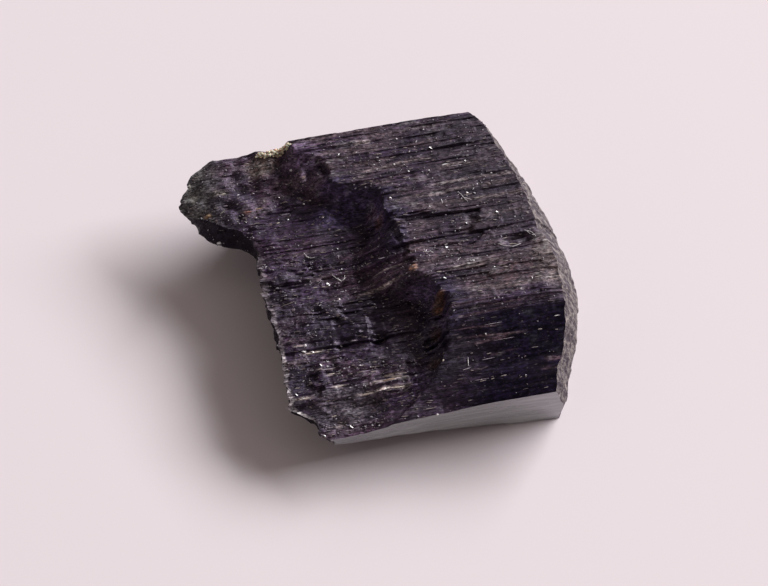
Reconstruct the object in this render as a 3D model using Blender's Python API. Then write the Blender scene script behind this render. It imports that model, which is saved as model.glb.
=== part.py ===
"""Arfvedsonite specimen: one black prism fragment of a striated amphibole, lying on a cleavage face.

X runs along the c-axis, which is the direction of the striations, Y runs from the front face to
the back face, and Z is up. Lengths are in millimetres until the mesh is made. The solid is a
lattice of surface points on a block (u along X, a lane along Y, a level along Z), and each point
is placed by the outlines and surfaces below.
"""

import math
import random

import bmesh
import bpy
import numpy as np

MM = 0.001
SEED = 17
PHASES = 6.0                         # range of the random start of the first stretch of a lath
NODE = "arfvedsonite_crystal"

# Prism faces: (100) is the flat top, (110) slopes to the front, (010) is the upright front face.
TOP_HEIGHT = 7.15
FRONT_LANE = -11.6
BACK_LANE = 12.2
PRISM_ANGLE = math.radians(28.0)     # between (100) and (110) in an amphibole
TOP_FRONT_EDGE = -4.75               # lane where (100) meets (110)

# Lattice
END_COLUMNS = 22                     # across each broken end zone
BODY_COLUMNS = 64                    # between the end zones
NECK = -5.0                          # x where the left end zone starts
SHOULDER = 8.6                       # x where the right end zone starts
LEVELS = (0.0, 0.22, 0.45, 0.58, 0.72, 0.86, 1.0)
LATH_WIDTHS = (0.55, 1.05)           # narrowest and widest of the large laths
LATH_GAP = 0.06                      # width of the upright step between two laths
LATH_STEP = 0.14                     # greatest rise or fall of a lath from its surface
LATH_STRETCH = 6.5                   # mean length of a lath between two cross breaks
LATH_RAMP = 0.39                     # length of the slope at a cross break
LATH_ARM = (-9.6, -8.4)              # x over which the laths start, to the right of the lumpy arm
BREAK_SHARE = 0.45                   # how much of a lath's height changes at a cross break
RECESS_LATH_SHARE = 0.6              # how much of the steps remains in the recess
SMOOTH_CORNER = (4.6, -5.6)          # right of this x and in front of this lane the face is smooth
CORNER_RAMP = 2.0                    # x over which it becomes smooth
CORNER_LATH_SHARE = 0.25             # how much of the steps remains there

# Outlines of the ends: (lane, x) pairs from front to back.
RIGHT_TOP = (
    (-11.6, 10.8), (-9.7, 11.3), (-8.8, 11.85), (-6.8, 12.5), (-4.7, 12.7), (-2.2, 12.7), (-0.6, 12.5),
    (0.7, 12.1), (3.5, 11.75), (6.1, 11.3), (8.7, 10.55), (10.0, 10.2), (11.3, 9.65), (12.2, 9.0),
)
RIGHT_BULGE = (
    (-11.6, 0.55), (-10.9, 0.9), (-8.7, 0.8), (-6.5, 1.0), (-3.7, 1.5), (-1.5, 1.6), (1.0, 1.9),
    (5.0, 1.6), (8.0, 1.45), (12.2, 1.2),
)
BULGE_BY_LEVEL = ((0.0, 0.75), (0.25, 0.95), (0.5, 1.0), (0.75, 0.6), (1.0, 0.0))
LEFT_TOP = (
    (-11.6, -6.3), (-11.2, -7.0), (-10.1, -7.05), (-9.6, -7.5), (-8.8, -8.7), (-7.8, -8.75), (-3.5, -8.6),
    (-1.0, -8.9), (2.0, -9.05), (4.0, -8.9), (5.0, -9.0), (6.4, -10.2), (7.0, -11.4), (7.6, -12.2),
    (8.2, -13.25), (8.9, -14.05), (9.8, -13.9), (10.7, -13.3), (11.4, -12.7), (11.9, -11.8), (12.2, -11.1),
)
LEFT_LIP = (
    (-11.6, -6.2), (-10.1, -6.9), (-9.6, -7.3), (-8.8, -8.4), (-5.3, -8.5), (-1.0, -8.8), (4.2, -8.9),
    (5.1, -9.5), (5.7, -10.8), (6.2, -11.8), (6.9, -12.5), (7.4, -13.0), (9.5, -13.2), (10.8, -12.8),
    (11.8, -11.4), (12.2, -10.5),
)
LEFT_ROOT = ((-11.6, -6.0), (-8.9, -7.2), (-5.3, -7.9), (0.0, -8.4), (4.8, -8.8), (9.0, -8.9), (12.2, -8.3))
LEFT_BASE = ((-11.6, -5.8), (-9.0, -6.4), (-6.0, -7.2), (0.0, -7.6), (12.2, -7.6))
LEFT_LEVELS = ((0.0, LEFT_BASE), (0.45, LEFT_ROOT), (0.72, LEFT_LIP), (1.0, LEFT_TOP))
END_RAGGEDNESS = 0.16
RIGHT_END_CALM = 0.5                 # raggedness of the right end as a share of the left end's
END_BANDS = 3.99                     # bands of splinters along the height of an end

# The broken-out recess on the left: its edge (lane, x) and its floor (lane, height).
SCARP = (
    (-11.6, -1.5), (-10.6, 0.2), (-9.7, 1.25), (-8.2, 2.85), (-6.5, 3.55), (-4.8, 4.1), (-3.3, 4.2),
    (-2.1, 3.5), (-1.2, 2.9), (0.2, 2.2), (2.3, 2.25), (3.3, 1.9), (4.6, 1.1), (6.2, 0.9), (6.6, 0.2),
    (7.2, -1.2), (7.8, -2.3), (9.0, -2.4), (10.3, -2.9), (10.8, -4.3), (12.2, -5.0),
)
SCARP_RUN = (                        # (lane, distance from the lip to the foot)
    (-11.6, 3.0), (-8.0, 1.9), (-3.5, 1.6), (-1.8, 3.0), (-0.5, 4.4), (2.0, 4.4), (3.2, 3.0), (4.6, 1.7),
    (7.0, 1.8), (8.5, 1.3), (10.4, 0.9), (12.2, 0.5),
)
SCARP_JAG = 0.45                     # how unevenly the laths end at the lip
SCARP_STEP = (                       # (lane, share of the fall that lies at the lip)
    (-11.6, 0.6), (-3.0, 0.6), (-1.2, 0.16), (2.6, 0.16), (4.4, 0.6), (12.2, 0.6),
)
SCARP_SLOPE = 0.5                    # length of the slope at the lip
FOOT_SLOPE = 0.88                    # length of the slope at the foot, as a share of the run
RECESS_FLOOR = (
    (-11.6, 3.0), (-9.4, 3.6), (-8.4, 4.0), (-6.9, 4.3), (-4.6, 4.6), (-2.7, 4.8), (4.8, 4.95),
    (7.0, 5.1), (9.0, 5.4), (12.2, 6.15),
)
ARM_START = -10.5
ARM_FALL = 0.15
KNOBS = (                            # rounded lumps: x, lane, radius, rise
    (-4.0, 10.6, 1.7, 1.15), (-3.3, 8.7, 1.0, 0.85), (-4.9, 8.9, 0.9, 0.45), (-11.3, 9.6, 1.6, 0.3),
    (-12.8, 9.0, 0.7, 0.25), (-9.3, 8.3, 1.0, 0.22), (-7.0, 10.2, 1.2, 0.2), (-10.4, 7.4, 0.6, 0.2),
    (-4.4, 11.9, 1.2, 0.9),
)
KNOB_ROUNDING = (0.3, 1.2)           # shares of the radius where a lump starts to fall and ends
HOLLOWS = (                          # rounded hollows: x, lane, reach along x, reach across, fall
    (-1.0, 6.1, 2.4, 1.5, 0.6),          # inner corner of the recess
    (10.3, 0.35, 1.5, 0.75, 0.38),       # pit near the right end
    (12.4, 1.1, 0.8, 0.6, 0.3),          # chip in the right edge
    (-1.2, -4.7, 0.8, 0.6, 0.4),
    (13.1, -3.6, 1.9, 1.9, 0.3),         # worn corner at the right end
)
HOLLOW_ROUNDING = (0.35, 1.0)

# Ledges (positive) and steps down (negative): x from, x to, lane from, lane to, rise.
LEDGES = (
    (1.9, 7.5, 0.7, 3.6, -0.2),          # long trough in the top face
    (1.7, 7.4, -3.4, -1.9, -0.16),       # second trough, nearer the front
    (-6.6, 0.5, -9.0, -6.6, 0.28),       # ledge of long blades at the front of the recess
    (-8.8, -5.5, 1.0, 2.4, 0.22),
    (-3.5, 1.5, -2.6, -0.9, -0.2),       # shallow steps in the floor of the recess
)
LEDGE_RAMP = 0.2

# Underside: how high the lower edge of the front face has broken away, as (x, height) pairs.
FRONT_LOWER_EDGE = ((-14.0, 2.5), (-6.2, 2.4), (-4.0, 1.8), (7.2, 0.3), (7.4, 0.0), (14.0, 0.0))
BACK_CHAMFER_LANE = 10.3
UNDERSIDE_RAGGED = (0.2, 0.8)        # heights between which the chamfers become ragged
BACK_LEDGES = (                      # below this level, left of this x, set in by this much
    (0.8, 3.5, 0.22), (0.65, 14.0, 0.18), (0.5, -2.0, 0.2), (0.3, 8.0, 0.22),
)
FRONT_BOW = ((-7.0, -0.1), (1.9, 0.3), (6.0, 0.3), (10.7, 0.1), (14.0, 0.1))   # (x, shift of the front)
FRONT_BOW_FADE = 4                   # powers by which the shifts of the front and back fade inwards
BACK_LEDGE_FADE = 8
FRONT_RISE = ((2.5, 0.0), (4.5, 0.35), (8.0, 0.6), (11.2, 0.85))   # (x, rise of the front edge)
FRONT_RISE_LANE = -8.0               # the slope rises from this lane to the front edge
FLAT_ANGLE = math.radians(0.6)       # faces closer than this are one face


def smoothstep(low, high, value):
    share = np.clip((value - low) / (high - low), 0.0, 1.0)
    return share * share * (3.0 - 2.0 * share)


def read_off(outline, position):
    """Value of an outline of (position, value) pairs, straight between its points."""
    return np.interp(position, [p for p, _ in outline], [v for _, v in outline])


def chance(row, cell, seed):
    """A fixed pseudo-random number from 0 to 1 for each pair of whole numbers."""
    mixed = (np.asarray(row) * 374761393 + np.asarray(cell) * 668265263 + seed * 974634777) & 0xFFFFFFFF
    mixed = ((mixed ^ (mixed >> 13)) * 1274126177) & 0xFFFFFFFF
    return (mixed ^ (mixed >> 16)) / 0xFFFFFFFF


def lath_edges():
    """Lanes between neighbouring laths, from the front face to the back face."""
    widths = random.Random(SEED)
    edges = [FRONT_LANE]
    while edges[-1] < BACK_LANE - LATH_WIDTHS[1]:
        edges.append(edges[-1] + widths.uniform(*LATH_WIDTHS))
    edges.append(BACK_LANE)
    return np.array(edges)


EDGES = lath_edges()


def lath_of(lane):
    return np.clip(np.searchsorted(EDGES, lane) - 1, 0, len(EDGES) - 2)


def middle_of(lath):
    return 0.5 * (EDGES[lath] + EDGES[lath + 1])


def lath_relief(x, lath):
    """Rise of each lath, level along each stretch, with a short slope at a cross break."""
    stretch = x / LATH_STRETCH + PHASES * chance(lath, 0, SEED)
    cell = np.floor(stretch).astype(int)
    here = chance(lath, cell, SEED + 1)
    following = chance(lath, cell + 1, SEED + 1)
    ramp = smoothstep(1.0 - LATH_RAMP / LATH_STRETCH, 1.0, stretch - cell)
    broken = here + (following - here) * ramp
    whole = chance(lath, 5, SEED + 1)
    return LATH_STEP * (2.0 * (whole + (broken - whole) * BREAK_SHARE) - 1.0)


def ledge_relief(x, lane):
    rise = np.zeros_like(x)
    for x_from, x_to, lane_from, lane_to, height in LEDGES:
        inside = (lane > lane_from) & (lane < lane_to)
        starts = smoothstep(x_from - LEDGE_RAMP, x_from + LEDGE_RAMP, x)
        ends = smoothstep(x_to - LEDGE_RAMP, x_to + LEDGE_RAMP, x)
        rise += height * inside * starts * (1.0 - ends)
    return rise


def hollow_relief(x, lane):
    fall = np.zeros_like(x)
    for centre_x, centre_lane, reach_x, reach_lane, depth in HOLLOWS:
        away = np.hypot((x - centre_x) / reach_x, (lane - centre_lane) / reach_lane)
        fall += depth * (1.0 - smoothstep(*HOLLOW_ROUNDING, away))
    return -fall


def knob_relief(x, lane):
    rise = np.zeros_like(x)
    for centre_x, centre_lane, radius, height in KNOBS:
        away = np.hypot(x - centre_x, lane - centre_lane) / radius
        rise += height * (1.0 - smoothstep(*KNOB_ROUNDING, away))
    return rise


def prism_share(x, lane):
    """1 on the prism faces, 0 in the recess, and between them on the two slopes of the scarp."""
    edge = read_off(SCARP, lane)
    lip = edge + SCARP_JAG * (chance(lath_of(lane), 3, SEED) - 0.5)
    step = read_off(SCARP_STEP, lane)
    run = read_off(SCARP_RUN, lane)
    foot = edge - run
    upper = smoothstep(lip - SCARP_SLOPE, lip, x)
    return step * upper + (1.0 - step) * smoothstep(foot, foot + FOOT_SLOPE * run, x)


def smooth_share(x, lane):
    """1 in the smooth front right corner of the sloping face, 0 away from it."""
    corner_x, corner_lane = SMOOTH_CORNER
    return smoothstep(corner_x - CORNER_RAMP, corner_x + CORNER_RAMP, x) * (lane < corner_lane)


def top_surface(x, lane):
    """Height of the upper surface: the prism faces, and the recess broken out of them."""
    lath = lath_of(lane)
    middle = middle_of(lath)
    prism = TOP_HEIGHT - math.tan(PRISM_ANGLE) * np.maximum(0.0, TOP_FRONT_EDGE - lane)
    prism += read_off(FRONT_RISE, x) * smoothstep(FRONT_RISE_LANE, FRONT_LANE, lane)
    floor = read_off(RECESS_FLOOR, lane) - ARM_FALL * np.maximum(0.0, ARM_START - x)
    on_prism = prism_share(x, lane)
    height = np.minimum(floor, prism) * (1.0 - on_prism) + prism * on_prism
    laths = smoothstep(*LATH_ARM, x) * (RECESS_LATH_SHARE + (1.0 - RECESS_LATH_SHARE) * on_prism)
    laths = laths * (1.0 - (1.0 - CORNER_LATH_SHARE) * smooth_share(x, middle))
    height += laths * lath_relief(x, lath) + ledge_relief(x, middle) + hollow_relief(x, lane)
    return height + knob_relief(x, lane) * (1.0 - on_prism)


def underside(x, lane):
    """Height of the lower surface: a flat base with a broken chamfer at the front and the back."""
    front = read_off(FRONT_LOWER_EDGE, x) - math.tan(PRISM_ANGLE) * (lane - FRONT_LANE)
    back = math.tan(PRISM_ANGLE) * (lane - BACK_CHAMFER_LANE)
    height = np.maximum(0.0, np.maximum(front, back))
    return height + lath_relief(x, lath_of(lane)) * smoothstep(*UNDERSIDE_RAGGED, height)


def back_relief(x, level):
    """How far the back face is broken away, as long ledges."""
    depth = np.zeros_like(x)
    for below, x_until, step in BACK_LEDGES:
        ends = smoothstep(x_until - LEDGE_RAMP, x_until + LEDGE_RAMP, x)
        depth += step * (level < below) * (1.0 - ends)
    return depth


def end_relief(lane, level, seed):
    """Splintery relief of a broken end: each lath ends a little further out or in."""
    lath = lath_of(lane)
    band = np.floor(level * END_BANDS).astype(int)
    return END_RAGGEDNESS * (chance(lath, band, seed) + chance(lath, 9, seed) - 1.0)


def left_end(lane, level):
    outlines = np.array([read_off(outline, lane) for _, outline in LEFT_LEVELS])
    heights = [height for height, _ in LEFT_LEVELS]
    x = np.array([np.interp(one, heights, column) for one, column in zip(level, outlines.T)])
    return x + end_relief(lane, level, SEED + 2)


def right_end(lane, level):
    bulge = read_off(RIGHT_BULGE, lane) * read_off(BULGE_BY_LEVEL, level)
    return read_off(RIGHT_TOP, lane) + bulge + RIGHT_END_CALM * end_relief(lane, level, SEED + 3)


def across(u, left, right):
    """x of lattice column u: straight columns in the body, spread to the outline in the end zones."""
    end = END_COLUMNS / (2 * END_COLUMNS + BODY_COLUMNS)
    in_left = left + (NECK - left) * u / end
    in_body = NECK + (SHOULDER - NECK) * (u - end) / (1.0 - 2.0 * end)
    in_right = SHOULDER + (right - SHOULDER) * (u - 1.0 + end) / end
    return np.where(u < end, in_left, np.where(u > 1.0 - end, in_right, in_body))


def surface_points(u, lane, level):
    """Place lattice points, given as equally long arrays, on the crystal."""
    x = across(u, left_end(lane, level), right_end(lane, level))
    low = underside(x, lane)
    z = low + (top_surface(x, lane) - low) * level
    towards_front = (BACK_LANE - lane) / (BACK_LANE - FRONT_LANE)
    y = lane + read_off(FRONT_BOW, x) * towards_front**FRONT_BOW_FADE
    y -= back_relief(x, level) * (1.0 - towards_front) ** BACK_LEDGE_FADE
    return np.column_stack([x, y, z])


def lane_rows():
    """Two lanes at each lath edge, one on either side of the step, and the outer faces."""
    rows = [FRONT_LANE]
    for edge in EDGES[1:-1]:
        rows += [edge - LATH_GAP / 2.0, edge + LATH_GAP / 2.0]
    return rows + [BACK_LANE]


def block_shell(columns, rows, levels):
    """Points (column, row, level) on the surface of a block, and the quads that join them."""
    quads = []
    for column in range(columns):
        for row in range(rows):
            a, b = (column, row), (column + 1, row)
            c, d = (column + 1, row + 1), (column, row + 1)
            quads.append([(*p, levels) for p in (a, b, c, d)])
            quads.append([(*p, 0) for p in (d, c, b, a)])
        for level in range(levels):
            for row, turn in ((0, 1), (rows, -1)):
                corners = [(column, row, level), (column + 1, row, level)]
                corners += [(column + 1, row, level + 1), (column, row, level + 1)]
                quads.append(corners[::turn])
    for row in range(rows):
        for level in range(levels):
            for column, turn in ((0, -1), (columns, 1)):
                corners = [(column, row, level), (column, row + 1, level)]
                corners += [(column, row + 1, level + 1), (column, row, level + 1)]
                quads.append(corners[::turn])
    points = sorted({point for quad in quads for point in quad})
    return points, quads


def make_material():
    material = bpy.data.materials.new("arfvedsonite")
    material.use_nodes = True
    shader = material.node_tree.nodes["Principled BSDF"]
    shader.inputs["Base Color"].default_value = (0.028, 0.022, 0.034, 1.0)
    shader.inputs["Roughness"].default_value = 0.42
    shader.inputs["Metallic"].default_value = 0.0
    return material


def make_crystal():
    rows = lane_rows()
    columns = 2 * END_COLUMNS + BODY_COLUMNS
    points, quads = block_shell(columns, len(rows) - 1, len(LEVELS) - 1)
    lattice = np.array(points)
    u = lattice[:, 0] / columns
    lane = np.array(rows)[lattice[:, 1]]
    level = np.array(LEVELS)[lattice[:, 2]]
    places = surface_points(u, lane, level)
    middle = 0.5 * (places.min(axis=0) + places.max(axis=0))
    places -= (middle[0], middle[1], places[:, 2].min())

    shape = bmesh.new()
    corner = {point: shape.verts.new(place * MM) for point, place in zip(points, places)}
    for quad in quads:
        shape.faces.new([corner[point] for point in quad])
    bmesh.ops.dissolve_limit(shape, angle_limit=FLAT_ANGLE, verts=shape.verts, edges=shape.edges)
    bmesh.ops.triangulate(shape, faces=shape.faces)
    mesh = bpy.data.meshes.new(NODE)
    shape.to_mesh(mesh)
    shape.free()
    mesh.materials.append(make_material())
    crystal = bpy.data.objects.new(NODE, mesh)
    bpy.context.scene.collection.objects.link(crystal)
    return crystal


def main():
    for leftover in list(bpy.data.objects):
        bpy.data.objects.remove(leftover, do_unlink=True)
    crystal = make_crystal()
    print("triangles", len(crystal.data.polygons))


main()
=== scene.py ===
"""Looks of the arfvedsonite specimen: a black, finely bladed prism fragment on pale paper.

X runs along the blades (the c-axis), Y from the front cleavage face to the back face, Z is up.
Lengths are in millimetres until a mesh is made, and MM turns them into the frame's metres.

The crystal is a fine lattice of surface points on a block: u along X, a lane along Y and a level
along Z. Its outlines and large forms are those of the CAD solid. On them come the bundles of thin
blades, their grooves and cross breaks, the granular recess and the hackly ends. Small loose pieces
are laid on the finished surface.
"""

import math
import random

import bmesh
import bpy
import numpy as np
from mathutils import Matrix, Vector
from mathutils.bvhtree import BVHTree


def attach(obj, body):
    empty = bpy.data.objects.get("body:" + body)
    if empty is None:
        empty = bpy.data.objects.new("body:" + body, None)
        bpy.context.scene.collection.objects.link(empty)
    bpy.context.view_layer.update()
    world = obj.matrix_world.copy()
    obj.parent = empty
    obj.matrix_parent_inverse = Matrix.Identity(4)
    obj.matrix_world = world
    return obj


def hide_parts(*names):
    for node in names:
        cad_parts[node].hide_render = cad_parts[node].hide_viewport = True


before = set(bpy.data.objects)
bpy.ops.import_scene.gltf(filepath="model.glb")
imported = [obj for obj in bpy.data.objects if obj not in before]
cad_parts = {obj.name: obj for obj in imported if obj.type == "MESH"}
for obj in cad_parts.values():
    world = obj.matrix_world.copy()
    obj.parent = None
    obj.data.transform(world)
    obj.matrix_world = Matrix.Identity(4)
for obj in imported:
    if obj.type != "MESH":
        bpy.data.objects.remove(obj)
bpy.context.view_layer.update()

MM = 0.001
SEED = 17
NODE = "arfvedsonite_crystal"
BODY = "root"
ORIGIN = (0.140, 0.265)              # lattice x and y of the middle of the CAD box

# ---------------------------------------------------------------- forms shared with the CAD solid

TOP_HEIGHT = 7.15
FRONT_LANE = -11.6
BACK_LANE = 12.2
PRISM_ANGLE = math.radians(28.0)     # between the flat top (100) and the front slope (110)
TOP_FRONT_EDGE = -4.75               # lane where they meet
NECK = -5.0                          # x where the left end zone starts
SHOULDER = 8.6                       # x where the right end zone starts
LATH_WIDTHS = (0.55, 1.05)           # narrowest and widest of the large laths
LATH_STEP = 0.14                     # greatest rise or fall of a lath from its surface
RECESS_LATH_SHARE = 0.6              # how much of it remains in the recess
LATH_STRETCH = 6.5                   # mean length of a lath between two cross breaks
LATH_RAMP = 0.39                     # length of the slope at a cross break of a lath
LATH_BREAK_SHARE = 0.45              # how much of a lath's height changes at a cross break
SMOOTH_CORNER = (4.6, -5.4)          # right of this x and in front of this lane the face is smooth
LATH_ARM = (-9.6, -8.4)              # x over which the laths start, to the right of the lumpy arm

# Outlines of the ends: (lane, x) pairs from front to back.
RIGHT_TOP = (
    (-11.6, 10.8), (-9.7, 11.3), (-8.8, 11.85), (-6.8, 12.5), (-4.7, 12.7), (-2.2, 12.7), (-0.6, 12.5),
    (0.7, 12.1), (3.5, 11.75), (6.1, 11.3), (8.7, 10.55), (10.0, 10.2), (11.3, 9.65), (12.2, 9.0),
)
RIGHT_BULGE = (
    (-11.6, 0.55), (-10.9, 0.9), (-8.7, 0.8), (-6.5, 1.0), (-3.7, 1.5), (-1.5, 1.6), (1.0, 1.9),
    (5.0, 1.6), (8.0, 1.45), (12.2, 1.2),
)
BULGE_BY_LEVEL = ((0.0, 0.75), (0.25, 0.95), (0.5, 1.0), (0.75, 0.6), (1.0, 0.0))
LEFT_TOP = (
    (-11.6, -6.3), (-11.2, -7.0), (-10.1, -7.05), (-9.6, -7.5), (-8.8, -8.7), (-7.8, -8.75), (-3.5, -8.6),
    (-1.0, -8.9), (2.0, -9.05), (4.0, -8.9), (5.0, -9.0), (6.4, -10.2), (7.0, -11.4), (7.6, -12.2),
    (8.2, -13.25), (8.9, -14.05), (9.8, -13.9), (10.7, -13.3), (11.4, -12.7), (11.9, -11.8), (12.2, -11.1),
)
LEFT_LIP = (
    (-11.6, -6.2), (-10.1, -6.9), (-9.6, -7.3), (-8.8, -8.4), (-5.3, -8.5), (-1.0, -8.8), (4.2, -8.9),
    (5.1, -9.5), (5.7, -10.8), (6.2, -11.8), (6.9, -12.5), (7.4, -13.0), (9.5, -13.2), (10.8, -12.8),
    (11.8, -11.4), (12.2, -10.5),
)
LEFT_ROOT = ((-11.6, -6.0), (-8.9, -7.2), (-5.3, -7.9), (0.0, -8.4), (4.8, -8.8), (9.0, -8.9), (12.2, -8.3))
LEFT_BASE = ((-11.6, -5.8), (-9.0, -6.4), (-6.0, -7.2), (0.0, -7.6), (12.2, -7.6))
LEFT_LEVELS = ((0.0, LEFT_BASE), (0.45, LEFT_ROOT), (0.72, LEFT_LIP), (1.0, LEFT_TOP))
END_RAGGEDNESS = 0.16
END_BANDS = 3.99                     # bands of splinters along the height of an end

# The broken-out recess on the left: its edge (lane, x) and its floor (lane, height).
SCARP = (
    (-11.6, -1.5), (-10.6, 0.2), (-9.7, 1.25), (-8.2, 2.85), (-6.5, 3.55), (-4.8, 4.1), (-3.3, 4.2),
    (-2.1, 3.5), (-1.2, 2.9), (0.2, 2.2), (2.3, 2.25), (3.3, 1.9), (4.6, 1.1), (6.2, 0.9), (6.6, 0.2),
    (7.2, -1.2), (7.8, -2.3), (9.0, -2.4), (10.3, -2.9), (10.8, -4.3), (12.2, -5.0),
)
SCARP_RUN = (                        # (lane, distance from the lip to the foot)
    (-11.6, 3.0), (-8.0, 1.9), (-3.5, 1.6), (-1.8, 3.0), (-0.5, 4.4), (2.0, 4.4), (3.2, 3.0), (4.6, 1.7),
    (7.0, 1.8), (8.5, 1.3), (10.4, 0.9), (12.2, 0.5),
)
SCARP_JAG = 0.45                     # how unevenly the laths end at the lip
SCARP_STEP = (                       # (lane, share of the fall that lies at the lip)
    (-11.6, 0.6), (-3.0, 0.6), (-1.2, 0.16), (2.6, 0.16), (4.4, 0.6), (12.2, 0.6),
)
SCARP_SLOPE = 0.5                    # length of the slope at the lip
FOOT_SLOPE = 0.88                    # length of the slope at the foot, as a share of the run
RECESS_FLOOR = (
    (-11.6, 3.0), (-9.4, 3.6), (-8.4, 4.0), (-6.9, 4.3), (-4.6, 4.6), (-2.7, 4.8), (4.8, 4.95),
    (7.0, 5.1), (9.0, 5.4), (12.2, 6.15),
)
ARM_START = -10.5
ARM_FALL = 0.15
KNOB_ROUNDING = (0.3, 1.2)           # shares of the radius where a lump starts to fall and ends
KNOBS = (                            # rounded lumps: x, lane, radius, rise
    (-4.0, 10.6, 1.7, 1.15), (-3.3, 8.7, 1.0, 0.85), (-4.9, 8.9, 0.9, 0.45), (-11.3, 9.6, 1.6, 0.3),
    (-12.8, 9.0, 0.7, 0.25), (-9.3, 8.3, 1.0, 0.22), (-7.0, 10.2, 1.2, 0.2), (-10.4, 7.4, 0.6, 0.2),
    (-4.4, 11.9, 1.2, 0.9),
)
SPOT_ROUNDING = (0.35, 1.0)          # shares of the reach where other spots start to fade and end
HOLLOWS = (                          # rounded hollows: x, lane, reach along x, reach across, fall
    (-1.0, 6.1, 2.4, 1.5, 0.6),          # inner corner of the recess
    (10.3, 0.35, 1.5, 0.75, 0.38),       # pit near the right end
    (12.4, 1.1, 0.8, 0.6, 0.3),          # chip in the right edge
    (-1.2, -4.7, 0.8, 0.6, 0.4),
    (13.1, -3.6, 1.9, 1.9, 0.3),         # worn corner at the right end
)

# Ledges (positive) and steps down (negative): x from, x to, lane from, lane to, rise.
LEDGE_RAMP = 0.15                    # half length of the slope at each end of a ledge
LEDGE_SIDES = (-0.25, 0.1)           # lanes from a ledge's side where its slope starts and ends
LEDGE_DEPTHS = (0.7, 0.6)            # least share of its rise, and how much more some blades have
LEDGES = (
    (1.9, 7.5, 0.7, 3.6, -0.2),          # long trough in the top face
    (1.7, 7.4, -3.4, -1.9, -0.16),       # second trough, nearer the front
    (-6.6, 0.5, -9.0, -6.6, 0.28),       # ledge of long blades at the front of the recess
    (-8.8, -5.5, 1.0, 2.4, 0.22),
    (-3.5, 1.5, -2.6, -0.9, -0.2),       # shallow steps in the floor of the recess
)

# Underside: how high the lower edge of the front face has broken away, as (x, height) pairs.
FRONT_LOWER_EDGE = ((-14.0, 2.5), (-6.2, 2.4), (-4.0, 1.8), (7.2, 0.3), (7.4, 0.0), (14.0, 0.0))
BACK_CHAMFER_LANE = 10.3             # the underside slopes up behind this lane
UNDERSIDE_BREAK = (0.2, 0.8)         # heights of a chamfer where its relief begins and is full
BACK_LEDGE_RAMP = 0.2                # half length of the slope at the end of a ledge
BACK_LEDGES = (                      # below this level, left of this x, set in by this much
    (0.8, 3.5, 0.22), (0.65, 14.0, 0.18), (0.5, -2.0, 0.2), (0.3, 8.0, 0.22),
)
FRONT_BOW = ((-7.0, -0.1), (1.9, 0.3), (6.0, 0.3), (10.7, 0.1), (14.0, 0.1))   # (x, shift of the front)
FRONT_BOW_FADE = 4                   # powers by which the shifts of the front and back fade inwards
BACK_LEDGE_FADE = 8
FRONT_RISE = ((2.5, 0.0), (4.5, 0.35), (8.0, 0.6), (11.2, 0.85))   # (x, rise of the front edge)
FRONT_RISE_LANE = -8.0               # the slope rises from this lane to the front edge

# Knots of the soft noises: length along x, width across the blades (in levels on the upright
# faces, in whole streaks or ledges for their waves), and what is added to the seed.
LEDGE_KNOTS = (1.6, 1.0, 60)
SCARP_KNOTS = (1.3, 1.3, 64)
SMOOTH_KNOTS = (2.5, 0.35, 68)
GRAIN_KNOTS = (2.6, 1.4, 3)
LUMP_KNOTS = (1.5, 1.5, 10)
PIT_KNOTS = (1.33, 0.95, 11)
CLOD_KNOTS = (0.75, 0.55, 13)
UNDERSIDE_KNOTS = (1.2, 0.6, 14)
BACK_KNOTS = (5.0, 1.5, 15)
FRONT_KNOTS = (4.0, 1.0, 16)
WANDER_KNOTS = (4.5, 1.1, 67)
DUST_KNOTS = (1.2, 0.9, 71)
SPLINTER_KNOTS = (2.2, 0.8, 72)


# ---------------------------------------------------------------------- fine forms of this script

END_COLUMNS = 50                     # across each broken end zone
BODY_COLUMNS = 140                   # between the end zones
LEVEL_COUNT = 26                     # quads from the base to the top
BLADE_WIDTH = 0.31                   # mean width of the thin blades that make up a lath
BLADE_SPREAD = (0.6, 1.5)            # narrowest and widest blade, as shares of the mean
BLADE_CROWN = (0.28, 0.74)           # where the two crown rows of a blade lie across it
EDGE_REACH = 0.01                    # how far to each side of a groove its neighbours are read
GROOVE_DEPTHS = (-0.01, 0.085)       # shallowest and deepest groove between two blades
GROOVE_RARITY = 2.2                  # the higher, the fewer deep grooves
GROOVE_STRETCH = 1.9                 # mean length of a stretch of equal depth
BLADE_STEP = 0.058                   # rise or fall of a blade from its lath
BLADE_STRETCH = 2.4                  # mean length of a blade between two cross breaks
BLADE_RAMP = 0.16                    # length of the slope at a cross break of a blade
BLADE_BREAK_SHARE = 0.8              # how much of a blade's height changes at a cross break
BLADE_WANDER = 0.16                  # how far a blade swerves from its lane
WANDER_MARGIN = 1.5                  # it swerves less, this near to the front and back faces
BLADE_TILT = 0.09                    # greatest difference in height between a blade's two sides
CRUMB_STEP = 0.055                   # rise or fall of the short crumbs that a blade breaks into
CRUMB_STRETCH = 0.62
CRUMB_RAMP = 0.2
CRUMB_SHARE = 0.3                    # of a crumb's step that long blades have too
GRAIN_ARM = (-9.6, -7.6)             # x over which the arm's grain ends
GRAIN_BACK = (7.0, 8.2)              # lanes over which the grain of the back part starts
STRIATED_FROM = (2.6, 3.4)           # lanes over which the long blades of the recess start
STRIATED_CALM = 0.75                 # how much less grain they have
GRAIN_ON_PRISM = 0.3                 # share of grain in the patches on the prism faces
LUMP_HEIGHT = 0.14                   # low waves in the floor of the recess
HACKLE_SIZE = 0.42                   # lumps of the broken ends
HACKLE_DEPTH = 0.13
RIGHT_END_CALM = 0.5                 # relief of the right end as a share of that of the left end
CHIP_BANDS = 9.99                    # chips along the height of a broken end
CHIP_DEPTH = 0.06
UNDERSIDE_ROUGHNESS = 0.12
FRONT_STREAK = 0.02                  # depth of the fine streaks on the front cleavage face
FRONT_STREAK_FADE = 60               # power by which they fade behind that face
BACK_STREAK = 0.05                   # depth of the streaks on the back face
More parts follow.
